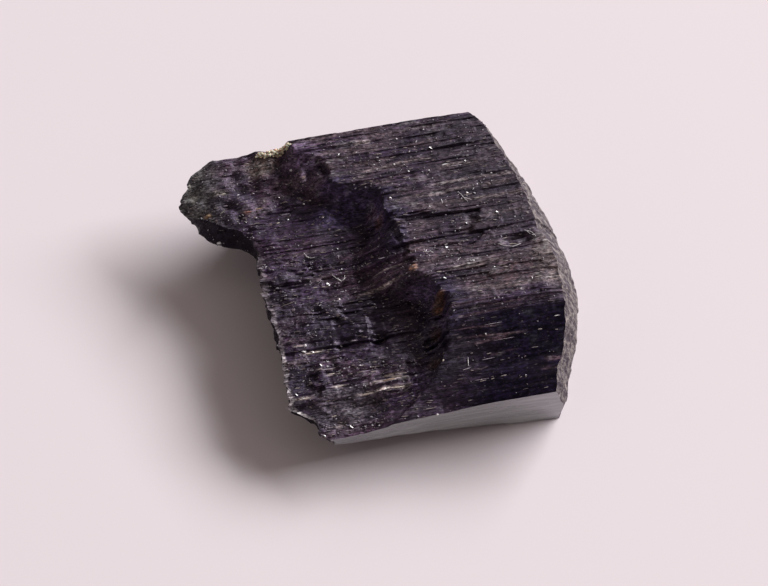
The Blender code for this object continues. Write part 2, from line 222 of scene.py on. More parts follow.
ROW_SHIFT = 6.0                      # the cross breaks of a row lie up to this many stretches along
LEDGE_WAVE = 0.3                     # how far a ledge's long sides swerve,
LEDGE_JAG = 0.55                     # and how unevenly its ends lie from blade to blade
SCARP_WAVE = 0.35                    # how far the foot of the scarp swerves
SCARP_SPLINTER = 0.6                 # how unevenly the blades end, at the lip and at the foot
SCARP_CALM = 0.3                     # how much flatter blades and grooves are on the steep scarp
STEEP_STEPS = (0.2, 0.5)             # shares at the lip between which the scarp counts as steep
CLOD_HEIGHT = 0.16                   # lumps of the arm, where the blades are broken into clods
CLOD_ARM = (-9.8, -8.2)              # x over which the arm's clods end
CLOD_BACK = (6.9, 8.2)               # lanes over which the clods of the back part start
CLOD_CALM = 0.45                     # how much flatter blades and grooves are among the clods
PIT_DEPTH = 0.22                     # pits in the granular floor of the recess
PIT_RIM = (0.15, 0.8)                # levels of the noise where a pit starts and is full
SMOOTH_CALM = (0.75, 0.8)            # how much flatter blades and grooves are in the smooth corner
CORNER_RAMP = 2.8                    # x over which the smooth corner starts, half of it
CORNER_WAVE = 1.5                    # how far that start swerves,
CORNER_EDGE_WAVE = 0.15              # and how far the corner's back edge does
CORNER_SIDES = (0.6, -0.5)           # lanes from its back edge where it starts and is full
CALM_FLOOR = (-2.4, -3.8, 4.6, 2.8)  # quiet part of the recess floor: x, lane, reach along, across
CALM_ROUNDING = (0.4, 1.0)           # shares of that reach where it starts to fade and ends
SHARP_ANGLE = math.radians(32.0)
FLAT_LIMIT = 1.0e-7                  # metres from the floor within which the base counts as flat


def smoothstep(low, high, value):
    share = np.clip((value - low) / (high - low), 0.0, 1.0)
    return share * share * (3.0 - 2.0 * share)


def read_off(outline, position):
    """Value of an outline of (position, value) pairs, straight between its points."""
    return np.interp(position, [p for p, _ in outline], [v for _, v in outline])


def chance(row, cell, seed):
    """A fixed pseudo-random number from 0 to 1 for each pair of whole numbers."""
    bits = (np.asarray(row) * 374761393 + np.asarray(cell) * 668265263 + seed * 974634777) & 0xFFFFFFFF
    bits = ((bits ^ (bits >> 13)) * 1274126177) & 0xFFFFFFFF
    return (bits ^ (bits >> 16)) / 0xFFFFFFFF


def soft_noise(across, along, seed):
    """A smooth pseudo-random field from -1 to 1, with a knot at each pair of whole numbers."""
    row = np.floor(across).astype(int)
    cell = np.floor(along).astype(int)
    to_row = smoothstep(0.0, 1.0, across - row)
    to_cell = smoothstep(0.0, 1.0, along - cell)
    near = chance(row, cell, seed) * (1.0 - to_cell) + chance(row, cell + 1, seed) * to_cell
    far = chance(row + 1, cell, seed) * (1.0 - to_cell) + chance(row + 1, cell + 1, seed) * to_cell
    return 2.0 * (near * (1.0 - to_row) + far * to_row) - 1.0


def lath_edges():
    """Lanes between neighbouring laths, from the front face to the back face."""
    widths = random.Random(SEED)
    edges = [FRONT_LANE]
    while edges[-1] < BACK_LANE - LATH_WIDTHS[1]:
        edges.append(edges[-1] + widths.uniform(*LATH_WIDTHS))
    edges.append(BACK_LANE)
    return np.array(edges)


def blade_edges(laths):
    """Lanes between neighbouring blades: each lath is a bundle of a few of them."""
    widths = random.Random(SEED + 1)
    edges = []
    for start, end in zip(laths[:-1], laths[1:]):
        count = max(2, round((end - start) / BLADE_WIDTH))
        shares = np.cumsum([0.0] + [widths.uniform(*BLADE_SPREAD) for _ in range(count)])
        edges += list(start + (end - start) * shares[:-1] / shares[-1])
    return np.array(edges + [laths[-1]])


LATHS = lath_edges()
BLADES = blade_edges(LATHS)


def strip_of(edges, lane):
    """Number of the lath or blade that a lane lies in."""
    return np.clip(np.searchsorted(edges, lane) - 1, 0, len(edges) - 2)


def middle_of(edges, strip):
    return 0.5 * (edges[strip] + edges[strip + 1])


def stepped(x, row, stretch, ramp, seed, break_share=BLADE_BREAK_SHARE):
    """A level from -1 to 1 for each row along x, with a short slope at each cross break."""
    place = x / stretch + ROW_SHIFT * chance(row, 0, seed)
    cell = np.floor(place).astype(int)
    here = chance(row, cell, seed + 1)
    following = chance(row, cell + 1, seed + 1)
    broken = here + (following - here) * smoothstep(1.0 - ramp / stretch, 1.0, place - cell)
    whole = chance(row, 5, seed + 1)
    return 2.0 * (whole + (broken - whole) * break_share) - 1.0


def knots(x, across, sizes):
    """Soft noise of knots with the given length along x, width across and seed."""
    length, width, seed = sizes
    return soft_noise(across / width, x / length, SEED + seed)


def spot(x, lane, centre_x, centre_lane, reach_x, reach_lane, rounding=SPOT_ROUNDING):
    """1 in the middle of a rounded spot, 0 outside it."""
    away = np.hypot((x - centre_x) / reach_x, (lane - centre_lane) / reach_lane)
    return 1.0 - smoothstep(*rounding, away)


def ledge_relief(x, lane):
    """Ledges and hollows, with ends that are ragged from blade to blade and wavy long sides."""
    rise = np.zeros_like(x)
    blade = strip_of(BLADES, lane)
    middle = middle_of(BLADES, blade)
    outer, inner = LEDGE_SIDES
    least, more = LEDGE_DEPTHS
    for number, (x_from, x_to, lane_from, lane_to, height) in enumerate(LEDGES):
        wave = LEDGE_WAVE * knots(x, number + 0.0 * x, LEDGE_KNOTS)
        inside = smoothstep(lane_from + outer, lane_from + inner, middle + wave)
        inside *= 1.0 - smoothstep(lane_to - inner, lane_to - outer, middle + wave)
        start = x_from + LEDGE_JAG * (2.0 * chance(blade, number, SEED + 61) - 1.0)
        end = x_to + LEDGE_JAG * (2.0 * chance(blade, number, SEED + 62) - 1.0)
        inside *= smoothstep(start - LEDGE_RAMP, start + LEDGE_RAMP, x)
        inside *= smoothstep(end + LEDGE_RAMP, end - LEDGE_RAMP, x)
        rise += height * (least + more * chance(blade, number, SEED + 63)) * inside
    return rise


def knob_relief(x, lane):
    rise = np.zeros_like(x)
    for centre_x, centre_lane, radius, height in KNOBS:
        rise += height * spot(x, lane, centre_x, centre_lane, radius, radius, KNOB_ROUNDING)
    return rise


def hollow_relief(x, lane):
    rise = np.zeros_like(x)
    for *place, fall in HOLLOWS:
        rise -= fall * spot(x, lane, *place)
    return rise


def prism_share(x, lane):
    """1 on the prism faces, 0 in the recess, and between them on the two steps of the scarp."""
    lath = strip_of(LATHS, lane)
    blade = strip_of(BLADES, lane)
    edge = read_off(SCARP, lane)
    lip = edge + SCARP_JAG * (chance(lath, 3, SEED) - 0.5)
    lip += SCARP_SPLINTER * (chance(blade, 3, SEED + 2) - 0.5)
    run = read_off(SCARP_RUN, lane)
    foot = edge - run + SCARP_WAVE * knots(x, lane, SCARP_KNOTS)
    foot += SCARP_SPLINTER * (chance(blade, 4, SEED + 2) - 0.5)
    step = read_off(SCARP_STEP, lane)
    at_lip = smoothstep(lip - SCARP_SLOPE, lip, x)
    at_foot = smoothstep(foot, foot + FOOT_SLOPE * run, x)
    return step * at_lip + (1.0 - step) * at_foot


def scarp_share(x, lane):
    """1 half way down the scarp, 0 above and below it."""
    on_prism = prism_share(x, lane)
    return 4.0 * on_prism * (1.0 - on_prism)


def steepness(lane):
    """1 in the lanes where the scarp is steep, 0 in those where it is a gentle ramp."""
    return smoothstep(*STEEP_STEPS, read_off(SCARP_STEP, lane))


def scarp_calm(x, lane):
    """What the steep scarp leaves of the height of blades and grooves."""
    return 1.0 - SCARP_CALM * steepness(lane) * scarp_share(x, lane)


def smooth_share(x, lane):
    """1 in the smooth front right corner of the sloping face, 0 away from it."""
    corner_x, corner_lane = SMOOTH_CORNER
    behind, inside = CORNER_SIDES
    wave = knots(x, lane, SMOOTH_KNOTS)
    beyond = smoothstep(corner_x - CORNER_RAMP, corner_x + CORNER_RAMP, x + CORNER_WAVE * wave)
    lane = lane + CORNER_EDGE_WAVE * wave
    return beyond * smoothstep(corner_lane + behind, corner_lane + inside, lane)


def calm_share(x, lane):
    """1 in the quiet, dark part of the recess floor, 0 away from it."""
    return spot(x, lane, *CALM_FLOOR, CALM_ROUNDING)


def grain_share(x, lane):
    """1 where the surface is broken into grains, down to 0 where it is long blades."""
    recess = 1.0 - prism_share(x, lane)
    arm = 1.0 - smoothstep(*GRAIN_ARM, x)
    back = smoothstep(*GRAIN_BACK, lane)
    striated = smoothstep(*STRIATED_FROM, lane) * (1.0 - back) * (1.0 - arm)
    patches = 0.5 + 0.5 * knots(x, lane, GRAIN_KNOTS)
    return recess * (1.0 - STRIATED_CALM * striated) + (1.0 - recess) * GRAIN_ON_PRISM * patches


def clod_share(x, lane):
    """1 on the arm and the knob, where the blades are broken into rounded clods."""
    arm = 1.0 - smoothstep(*CLOD_ARM, x)
    back = smoothstep(*CLOD_BACK, lane)
    return (1.0 - prism_share(x, lane)) * np.maximum(arm, back)


def blade_surface(x, lane):
    """Height of the upper surface on a blade, without the grooves between blades."""
    lath = strip_of(LATHS, lane)
    blade = strip_of(BLADES, lane)
    prism = TOP_HEIGHT - math.tan(PRISM_ANGLE) * np.maximum(0.0, TOP_FRONT_EDGE - lane)
    prism += read_off(FRONT_RISE, x) * smoothstep(FRONT_RISE_LANE, FRONT_LANE, lane)
    floor = read_off(RECESS_FLOOR, lane) - ARM_FALL * np.maximum(0.0, ARM_START - x)
    on_prism = prism_share(x, lane)
    height = np.minimum(floor, prism) * (1.0 - on_prism) + prism * on_prism
    clods = clod_share(x, lane)
    polish = (1.0 - SMOOTH_CALM[0] * smooth_share(x, lane)) * scarp_calm(x, lane)
    polish *= 1.0 - CLOD_CALM * clods
    bladed = smoothstep(*LATH_ARM, x) * polish
    bladed *= RECESS_LATH_SHARE + (1.0 - RECESS_LATH_SHARE) * on_prism
    height += bladed * LATH_STEP * stepped(x, lath, LATH_STRETCH, LATH_RAMP, SEED, LATH_BREAK_SHARE)
    height += ledge_relief(x, lane) + hollow_relief(x, lane) + knob_relief(x, lane) * (1.0 - on_prism)

    grain = grain_share(x, lane)
    across = (lane - BLADES[blade]) / (BLADES[blade + 1] - BLADES[blade]) - 0.5
    height += polish * BLADE_STEP * stepped(x, blade, BLADE_STRETCH, BLADE_RAMP, SEED + 4)
    height += polish * BLADE_TILT * across * stepped(x, blade, BLADE_STRETCH, BLADE_RAMP, SEED + 6)
    crumbs = stepped(x, blade, CRUMB_STRETCH, CRUMB_RAMP, SEED + 8)
    height += polish * CRUMB_STEP * (CRUMB_SHARE + grain) * crumbs
    height += (1.0 - on_prism) * LUMP_HEIGHT * knots(x, lane, LUMP_KNOTS)
    pits = smoothstep(*PIT_RIM, knots(x, lane, PIT_KNOTS))
    height -= (1.0 - on_prism) * grain * PIT_DEPTH * pits
    return height + clods * CLOD_HEIGHT * knots(x, lane, CLOD_KNOTS)


def top_surface(x, lane):
    """Height of the upper surface. A lane on a blade's edge lies in the groove between two blades."""
    height = np.minimum(blade_surface(x, lane - EDGE_REACH), blade_surface(x, lane + EDGE_REACH))
    in_groove = np.isin(lane, BLADES[1:-1])
    blade = strip_of(BLADES, lane)
    shallow, deep = GROOVE_DEPTHS
    openness = 0.5 + 0.5 * stepped(x, blade, GROOVE_STRETCH, BLADE_RAMP, SEED + 12)
    depth = shallow + (deep - shallow) * openness**GROOVE_RARITY
    calm = (1.0 - SMOOTH_CALM[1] * smooth_share(x, lane)) * scarp_calm(x, lane)
    return height - in_groove * depth * calm * (1.0 - CLOD_CALM * clod_share(x, lane))


def underside(x, lane):
    """Height of the lower surface: a flat base with a broken chamfer at the front and the back."""
    front = read_off(FRONT_LOWER_EDGE, x) - math.tan(PRISM_ANGLE) * (lane - FRONT_LANE)
    back = math.tan(PRISM_ANGLE) * (lane - BACK_CHAMFER_LANE)
    height = np.maximum(0.0, np.maximum(front, back))
    broken = smoothstep(*UNDERSIDE_BREAK, height)
    lath = strip_of(LATHS, lane)
    height += broken * LATH_STEP * stepped(x, lath, LATH_STRETCH, LATH_RAMP, SEED, LATH_BREAK_SHARE)
    return height + broken * UNDERSIDE_ROUGHNESS * knots(x, lane, UNDERSIDE_KNOTS)


def back_relief(x, level):
    """How far the back face is broken away, as long ledges."""
    depth = BACK_STREAK * knots(x, level * LEVEL_COUNT, BACK_KNOTS)
    for below, x_until, step in BACK_LEDGES:
        beyond = smoothstep(x_until - BACK_LEDGE_RAMP, x_until + BACK_LEDGE_RAMP, x)
        depth += step * (level < below) * (1.0 - beyond)
    return depth


def end_relief(lane, level, seed):
    """Splintery relief of a broken end: laths, blades and grains end a little further out or in."""
    lath = strip_of(LATHS, lane)
    blade = strip_of(BLADES, lane)
    laths = chance(lath, np.floor(level * END_BANDS).astype(int), seed) + chance(lath, 9, seed) - 1.0
    chips = 2.0 * chance(blade, np.floor(level * CHIP_BANDS).astype(int), seed + 1) - 1.0
    hackles = soft_noise(lane / HACKLE_SIZE, level * TOP_HEIGHT / HACKLE_SIZE, seed + 2)
    return END_RAGGEDNESS * laths + CHIP_DEPTH * chips + HACKLE_DEPTH * hackles


def left_end(lane, level):
    outlines = [read_off(outline, lane) for _, outline in LEFT_LEVELS]
    x = outlines[0] + end_relief(lane, level, SEED + 20)
    for place in range(len(LEFT_LEVELS) - 1):
        low, high = LEFT_LEVELS[place][0], LEFT_LEVELS[place + 1][0]
        x += (outlines[place + 1] - outlines[place]) * np.clip((level - low) / (high - low), 0.0, 1.0)
    return x


def right_end(lane, level):
    bulge = read_off(RIGHT_BULGE, lane) * read_off(BULGE_BY_LEVEL, level)
    return read_off(RIGHT_TOP, lane) + bulge + RIGHT_END_CALM * end_relief(lane, level, SEED + 30)


def across_block(u, left, right):
    """x of lattice column u: straight columns in the body, spread to the outline in the end zones."""
    end = END_COLUMNS / (2 * END_COLUMNS + BODY_COLUMNS)
    in_left = left + (NECK - left) * u / end
    in_body = NECK + (SHOULDER - NECK) * (u - end) / (1.0 - 2.0 * end)
    in_right = SHOULDER + (right - SHOULDER) * (u - 1.0 + end) / end
    return np.where(u < end, in_left, np.where(u > 1.0 - end, in_right, in_body))


def surface_points(u, lane, level):
    """Places of lattice points, given as equally long arrays."""
    x = across_block(u, left_end(lane, level), right_end(lane, level))
    low = underside(x, lane)
    z = low + (top_surface(x, lane) - low) * level
    towards_front = (BACK_LANE - lane) / (BACK_LANE - FRONT_LANE)
    inner = smoothstep(FRONT_LANE, FRONT_LANE + WANDER_MARGIN, lane)
    inner *= smoothstep(BACK_LANE, BACK_LANE - WANDER_MARGIN, lane)
    y = lane + BLADE_WANDER * inner * knots(x, lane, WANDER_KNOTS)
    y += read_off(FRONT_BOW, x) * towards_front**FRONT_BOW_FADE
    y -= back_relief(x, level) * (1.0 - towards_front) ** BACK_LEDGE_FADE
    streaks = knots(x, level * LEVEL_COUNT, FRONT_KNOTS)
    y += FRONT_STREAK * streaks * towards_front**FRONT_STREAK_FADE * (level < 1.0)
    return np.column_stack([x, y, z])


def lane_rows():
    """A lane in each groove and two on each blade, from the front face to the back face."""
    rows = []
    for start, end in zip(BLADES[:-1], BLADES[1:]):
        rows += [start] + [start + share * (end - start) for share in BLADE_CROWN]
    return np.array(rows + [BLADES[-1]])


# The six sheets of the block: fixed axis, whether it is the far one, and the two axes that run in it.
SHEETS = {
    "top": (2, True, 0, 1), "base": (2, False, 1, 0), "right": (0, True, 1, 2),
    "left": (0, False, 2, 1), "back": (1, True, 2, 0), "front": (1, False, 0, 2),
}


def sheet_quads(name, counts):
    """Lattice corners of every quad of one sheet, as an array (quads, 4, 3) that faces outwards."""
    fixed, far, first, second = SHEETS[name]
    a, b = np.meshgrid(np.arange(counts[first]), np.arange(counts[second]), indexing="ij")
    corners = np.zeros((a.size, 4, 3), int)
    corners[:, :, fixed] = counts[fixed] if far else 0
    for corner, (step_a, step_b) in enumerate(((0, 0), (1, 0), (1, 1), (0, 1))):
        corners[:, corner, first] = a.ravel() + step_a
        corners[:, corner, second] = b.ravel() + step_b
    return corners


# ------------------------------------------------------------------------------------- materials

SHEEN_TINT = (0.90, 0.75, 1.0, 1.0)
MOTTLE_DETAIL = (5.0, 0.65)          # detail and roughness of the noise of the broken faces
MOTTLE_RANGE = (0.35, 0.65)          # values between which nearly all of a noise lies
LONE_FACET_SCALE = 0.77              # cells that choose the facets that stand out, to the facets
LONE_FACETS = (0.84, 1.0, 0.3, 2.6)  # from low, from high, to a weak tilt, to a strong one


def new_material(name, ior=None):
    """A material with its node tree and its shader."""
    material = bpy.data.materials.new(name)
    material.use_nodes = True
    shader = material.node_tree.nodes["Principled BSDF"]
    if ior:
        shader.inputs["IOR"].default_value = ior
    return material, material.node_tree, shader


def node(tree, kind, **settings):
    """Adds a shader node. Settings are its properties, and inputs by name with spaces as _."""
    added = tree.nodes.new(kind)
    for name, value in settings.items():
        if hasattr(added, name):
            setattr(added, name, value)
        else:
            added.inputs[name.replace("_", " ")].default_value = value
    return added


def stretched_noise(tree, scale, detail, roughness=0.6, kind="ShaderNodeTexNoise"):
    """Noise with scale knots per millimetre along x, y and z."""
    place = node(tree, "ShaderNodeTexCoord")
    mapping = node(tree, "ShaderNodeMapping")
    mapping.inputs["Scale"].default_value = [one / MM for one in scale]
    tree.links.new(place.outputs["Object"], mapping.inputs["Vector"])
    texture = node(tree, kind, Scale=1.0)
    if kind == "ShaderNodeTexNoise":
        texture.inputs["Detail"].default_value = detail
        texture.inputs["Roughness"].default_value = roughness
    tree.links.new(mapping.outputs["Vector"], texture.inputs["Vector"])
    return texture


def remap(tree, value, low, high, to_low, to_high):
    ramp = node(tree, "ShaderNodeMapRange", From_Min=low, From_Max=high, To_Min=to_low, To_Max=to_high)
    tree.links.new(value, ramp.inputs["Value"])
    return ramp.outputs["Result"]


def math_node(tree, operation, first, second):
    joined = node(tree, "ShaderNodeMath", operation=operation)
    for slot_number, value in enumerate((first, second)):
        if isinstance(value, (int, float)):
            joined.inputs[slot_number].default_value = value
        else:
            tree.links.new(value, joined.inputs[slot_number])
    return joined.outputs["Value"]


def times(tree, first, second):
    return math_node(tree, "MULTIPLY", first, second)


def grey(tree, value):
    """A grey colour with the given value in each channel."""
    joined = node(tree, "ShaderNodeCombineColor")
    for channel in ("Red", "Green", "Blue"):
        tree.links.new(value, joined.inputs[channel])
    return joined.outputs["Color"]


def mix_values(tree, share, first, second):
    mixer = node(tree, "ShaderNodeMix", data_type="FLOAT")
    for name, value in (("Factor_Float", share), ("A_Float", first), ("B_Float", second)):
        tree.links.new(value, next(i for i in mixer.inputs if i.identifier == name))
    return next(o for o in mixer.outputs if o.identifier == "Result_Float")


def mix_colors(tree, blend, share, first, second):
    mixer = node(tree, "ShaderNodeMix", data_type="RGBA", blend_type=blend)
    for name, value in (("Factor_Float", share), ("A_Color", first), ("B_Color", second)):
        target = next(i for i in mixer.inputs if i.identifier == name)
        if isinstance(value, bpy.types.NodeSocket):
            tree.links.new(value, target)
        else:
            target.default_value = value
    return next(o for o in mixer.outputs if o.identifier == "Result_Color")


def attribute(tree, name, output):
    read = node(tree, "ShaderNodeAttribute", attribute_name=name)
    return read.outputs[output]


def facet_normals(tree, scale, strength, source):
    """Tilts the normal by a fixed random amount in each cell, as on a surface of tiny facets."""
    cells = stretched_noise(tree, scale, 0.0, kind="ShaderNodeTexVoronoi")
    centred = node(tree, "ShaderNodeVectorMath", operation="SUBTRACT")
    centred.inputs[1].default_value = (0.5, 0.5, 0.5)
    tree.links.new(cells.outputs["Color"], centred.inputs[0])
    wider = [LONE_FACET_SCALE * one for one in scale]
    lone = stretched_noise(tree, wider, 0.0, kind="ShaderNodeTexVoronoi")
    parts = node(tree, "ShaderNodeSeparateColor")
    tree.links.new(lone.outputs["Color"], parts.inputs["Color"])
    tilted = times(tree, remap(tree, parts.outputs["Red"], *LONE_FACETS), strength)
    scaled = node(tree, "ShaderNodeVectorMath", operation="SCALE")
    tree.links.new(centred.outputs["Vector"], scaled.inputs[0])
    tree.links.new(tilted, scaled.inputs["Scale"])
    moved = node(tree, "ShaderNodeVectorMath", operation="ADD")
    tree.links.new(source, moved.inputs[0])
    tree.links.new(scaled.outputs["Vector"], moved.inputs[1])
    unit = node(tree, "ShaderNodeVectorMath", operation="NORMALIZE")
    tree.links.new(moved.outputs["Vector"], unit.inputs[0])
    return unit.outputs["Vector"]


def bump(tree, height, distance):
    bumped = node(tree, "ShaderNodeBump", Strength=1.0, Distance=distance * MM)
    tree.links.new(height, bumped.inputs["Height"])
    return bumped.outputs["Normal"]


# Noises of the bladed surface: knots per millimetre along x, y and z, then detail and roughness.
FIBRES = ((0.42, 4.2, 4.2), 5.0, 0.65)
CLODS = ((1.7, 2.4, 2.4), 5.0, 0.7)
THREADS = ((0.9, 11.0, 11.0), 2.0)
GRIT = ((3.4, 6.0, 6.0), 2.0, 0.6)
SPECKS = ((5.0, 8.0, 8.0), 1.0)
TINY_FACETS = (2.6, 7.5, 7.5)        # facets per millimetre

# What each noise is turned into: from low, from high, to low, to high.
FIBRE_SHADE = (0.36, 0.70, 0.5, 2.0)
THREAD_SHADE = (0.35, 0.68, 0.7, 1.4)
GRIT_SHADE = (0.38, 0.62, 0.32, 2.0)
SPECK_SHARE = (0.64, 0.80, 0.0, 0.75)
FIBRE_ROUGHNESS = (0.3, 0.75, 0.14, 0.34)
SMOOTH_ROUGHNESS = 0.28              # of a blade without fibres
# Pale specks: dust and tiny crystallites, in part painted glints.
SPECK_COLOR = (0.34, 0.29, 0.30, 1.0)
SPECKS_ON_BLADES = 0.2               # share of specks where there is no grain
THREAD_HEIGHT = 0.6                  # of a thread, as a share of a fibre's height
FIBRE_HEIGHT = 0.09
FACET_TILT = (0.22, 0.45)            # on blades, and how much more on grain
BLADES_IOR = 1.46


def blades_material():
    """The bladed upper surface: colour by place, darker and lighter fibres, and tiny facets."""
    material, tree, shader = new_material("amphibole_blades", BLADES_IOR)
    shader.inputs["Specular Tint"].default_value = SHEEN_TINT
    grain = attribute(tree, "grain", "Fac")
    rough_share = attribute(tree, "roughened", "Fac")
    color = attribute(tree, "tone", "Color")

    fibres = stretched_noise(tree, *FIBRES).outputs["Fac"]
    clods = stretched_noise(tree, *CLODS).outputs["Fac"]
    fibres = mix_values(tree, attribute(tree, "clods", "Fac"), fibres, clods)
    threads = stretched_noise(tree, *THREADS).outputs["Fac"]
    grit = stretched_noise(tree, *GRIT).outputs["Fac"]
    shade = times(tree, remap(tree, fibres, *FIBRE_SHADE), remap(tree, threads, *THREAD_SHADE))
    shade = times(tree, shade, remap(tree, grit, *GRIT_SHADE))
    color = mix_colors(tree, "MULTIPLY", 1.0, color, grey(tree, shade))

    # Pale specks of dust and tiny crystallites, in part painted glints.
    specks = stretched_noise(tree, *SPECKS).outputs["Fac"]
    speckled = math_node(tree, "ADD", grain, SPECKS_ON_BLADES)
    speck_share = times(tree, remap(tree, specks, *SPECK_SHARE), speckled)
    color = mix_colors(tree, "MIX", speck_share, color, SPECK_COLOR)
    tree.links.new(color, shader.inputs["Base Color"])

    rough = times(tree, remap(tree, fibres, *FIBRE_ROUGHNESS), rough_share)
    tree.links.new(math_node(tree, "ADD", rough, SMOOTH_ROUGHNESS), shader.inputs["Roughness"])
    height = math_node(tree, "ADD", fibres, times(tree, threads, THREAD_HEIGHT))
    height = times(tree, height, rough_share)
    least_tilt, more_tilt = FACET_TILT
    tilt = math_node(tree, "ADD", times(tree, grain, more_tilt), least_tilt)
    tilt = times(tree, tilt, rough_share)
    normal = facet_normals(tree, TINY_FACETS, tilt, bump(tree, height, FIBRE_HEIGHT))
    tree.links.new(normal, shader.inputs["Normal"])
    return material


def plain_mineral(name, color, dark, roughness, noise_scale, bump_height, facet_scale, facet_tilt,
                  mottle_range=(0.36, 0.64), ior=1.6):
    """A broken or cleaved face of one colour, mottled towards a darker one."""
    material, tree, shader = new_material(name, ior)
    shader.inputs["Specular Tint"].default_value = SHEEN_TINT
    mottle = stretched_noise(tree, noise_scale, *MOTTLE_DETAIL).outputs["Fac"]
    share = remap(tree, mottle, *mottle_range, 0.0, 1.0)
    color = mix_colors(tree, "MIX", share, (*dark, 1.0), (*color, 1.0))
    tree.links.new(color, shader.inputs["Base Color"])
    low, high = roughness
    tree.links.new(remap(tree, mottle, *MOTTLE_RANGE, high, low), shader.inputs["Roughness"])
    normal = facet_normals(tree, facet_scale, facet_tilt, bump(tree, mottle, bump_height))
    tree.links.new(normal, shader.inputs["Normal"])
    return material


def crystal_materials():
    """The material of each sheet of the block."""
    right = plain_mineral(
        "amphibole_weathered_end", color=(0.25, 0.214, 0.192), dark=(0.022, 0.016, 0.017),
        roughness=(0.4, 0.6), noise_scale=(1.6, 2.4, 1.8), bump_height=0.3,
        facet_scale=(2.4, 3.2, 2.6), facet_tilt=0.6, mottle_range=(0.44, 0.68),
    )
    left = plain_mineral(
        "amphibole_fresh_break", color=(0.010, 0.007, 0.014), dark=(0.003, 0.002, 0.005),
        roughness=(0.24, 0.42), noise_scale=(1.4, 2.4, 1.4), bump_height=0.2,
        facet_scale=(2.4, 3.4, 2.4), facet_tilt=0.6, ior=1.25,
    )
    # Painted reflection: the front cleavage face is painted light grey, standing in for its glossy reflection
    # of the bright paper in front of it.
    front = plain_mineral(
        "amphibole_front_cleavage_painted_reflection", color=(0.39, 0.405, 0.395), dark=(0.25, 0.26, 0.26),
        roughness=(0.2, 0.3), noise_scale=(0.14, 5.0, 2.6), bump_height=0.03,
        facet_scale=(0.35, 4.0, 3.0), facet_tilt=0.06, ior=1.9,
    )
    back = plain_mineral(
        "amphibole_back_cleavage", color=(0.045, 0.038, 0.048), dark=(0.012, 0.009, 0.015),
        roughness=(0.32, 0.5), noise_scale=(0.25, 5.0, 3.4), bump_height=0.05,
        facet_scale=(0.8, 5.0, 4.0), facet_tilt=0.25,
    )
    return {
        "top": blades_material(), "left": left, "right": right, "front": front, "back": back, "base": back,
    }


# ---------------------------------------------------------------------------- colour by place

NEAR_BLACK = (0.0042, 0.0026, 0.010)
# Painted shade: a blue-violet for the steep scarp, which lies in shade, so that its shade looks blue-black.
SCARP_SHADE_PAINT = (0.140, 0.094, 0.210)
LIP_DARK = (0.013, 0.009, 0.027)     # darker violet just behind the lip of the steep scarp
RAMP_PAINTED_LIGHT = 0.5                      # painted light: how much paler the gentle part of the scarp is painted, to make up for its dim grazing light
BROWN_GREY = (0.060, 0.039, 0.046)
VIOLET_DARK = (0.0165, 0.0075, 0.0225)
BROWN_VIOLET = (0.030, 0.0140, 0.026)
GREY_GREEN = (0.058, 0.057, 0.055)
PINKISH = (0.078, 0.046, 0.074)
RIM_REFLECTION_PAINT = (0.26, 0.23, 0.24)        # painted reflection: pale edge at the front left, where the left face reflects the bright paper
PALE_GREYNESS = 0.7                  # how far the palest spots of a tone turn grey
STAIN = (0.105, 0.046, 0.016)
SPECKED_TONES = (0.003, 0.018)       # tones from which pale specks begin and are full

# Where and how strongly each of them shows. A pair gives the ends of a soft border.
SLOPE_EDGE_SHIFT = 0.7               # the front slope's edge moves back by this towards the right,
SLOPE_EDGE_SHIFTS = (5.0, 11.0)      # between these x
SLOPE_TONE_FROM, SLOPE_TONE_FULL = 0.2, -0.6    # lanes from that edge
SLOPE_VIOLET = 0.8                   # how far the slope's blades all turn violet
HUE_WANDER = 0.6                     # how far the hue changes within a blade
SMOOTH_BLACK = 1.2                   # how soon the smooth corner turns black
RECESS_BROWNS = (-0.3, 0.6)          # levels of the noise, for the brown patches of the recess
GREEN_ARM = (-13.0, -9.6)            # x, for the green-grey end of the arm
PRISM_TONES = (0.7, 1.0)             # shares of the prism, for its colour
SCARP_SHADE_FRONT = (-11.0, -8.0)     # lanes between which the painted shade colour of the steep scarp begins,
SCARP_SHADE_BACK = (7.6, 9.2)         # and those where it ends
SCARP_SHADE_PAINTING = 0.85
LIP_DARKENING = 0.9
LIP_REACH = (0.4, 2.2)               # distances behind the lip
LIP_WANDER = 0.7
RIM_STRENGTH = 0.8
RIM_WANDER = 0.15
RIM_WIDTH = (0.18, 0.42)             # distances from the left end
RIM_BEGINS, RIM_ENDS = (-10.3, -9.7), (3.4, 4.4)    # lanes
RIM_THINNING = 0.6                   # how much weaker the rim is behind these lanes
RIM_THINS = (-5.0, -4.2)
BLADE_CONTRAST = 0.35                # in brightness, between one blade and the next

# Knots of the tone's noises, as for the shape. Those of the brightness have their contrast first.
HUE_KNOTS = (1.4, 0.4, 23)
RECESS_KNOTS = (1.3, 0.8, 24)
LIP_KNOTS = (1.2, 0.9, 26)
STREAK_KNOTS = (1.7, 1.0, 25)
RIM_KNOTS = (0.5, 0.35, 27)
BRIGHTNESS_KNOTS = ((0.7, (0.36, 0.22, 21)), (0.35, (2.2, 0.4, 28)), (0.4, (2.0, 1.1, 22)))

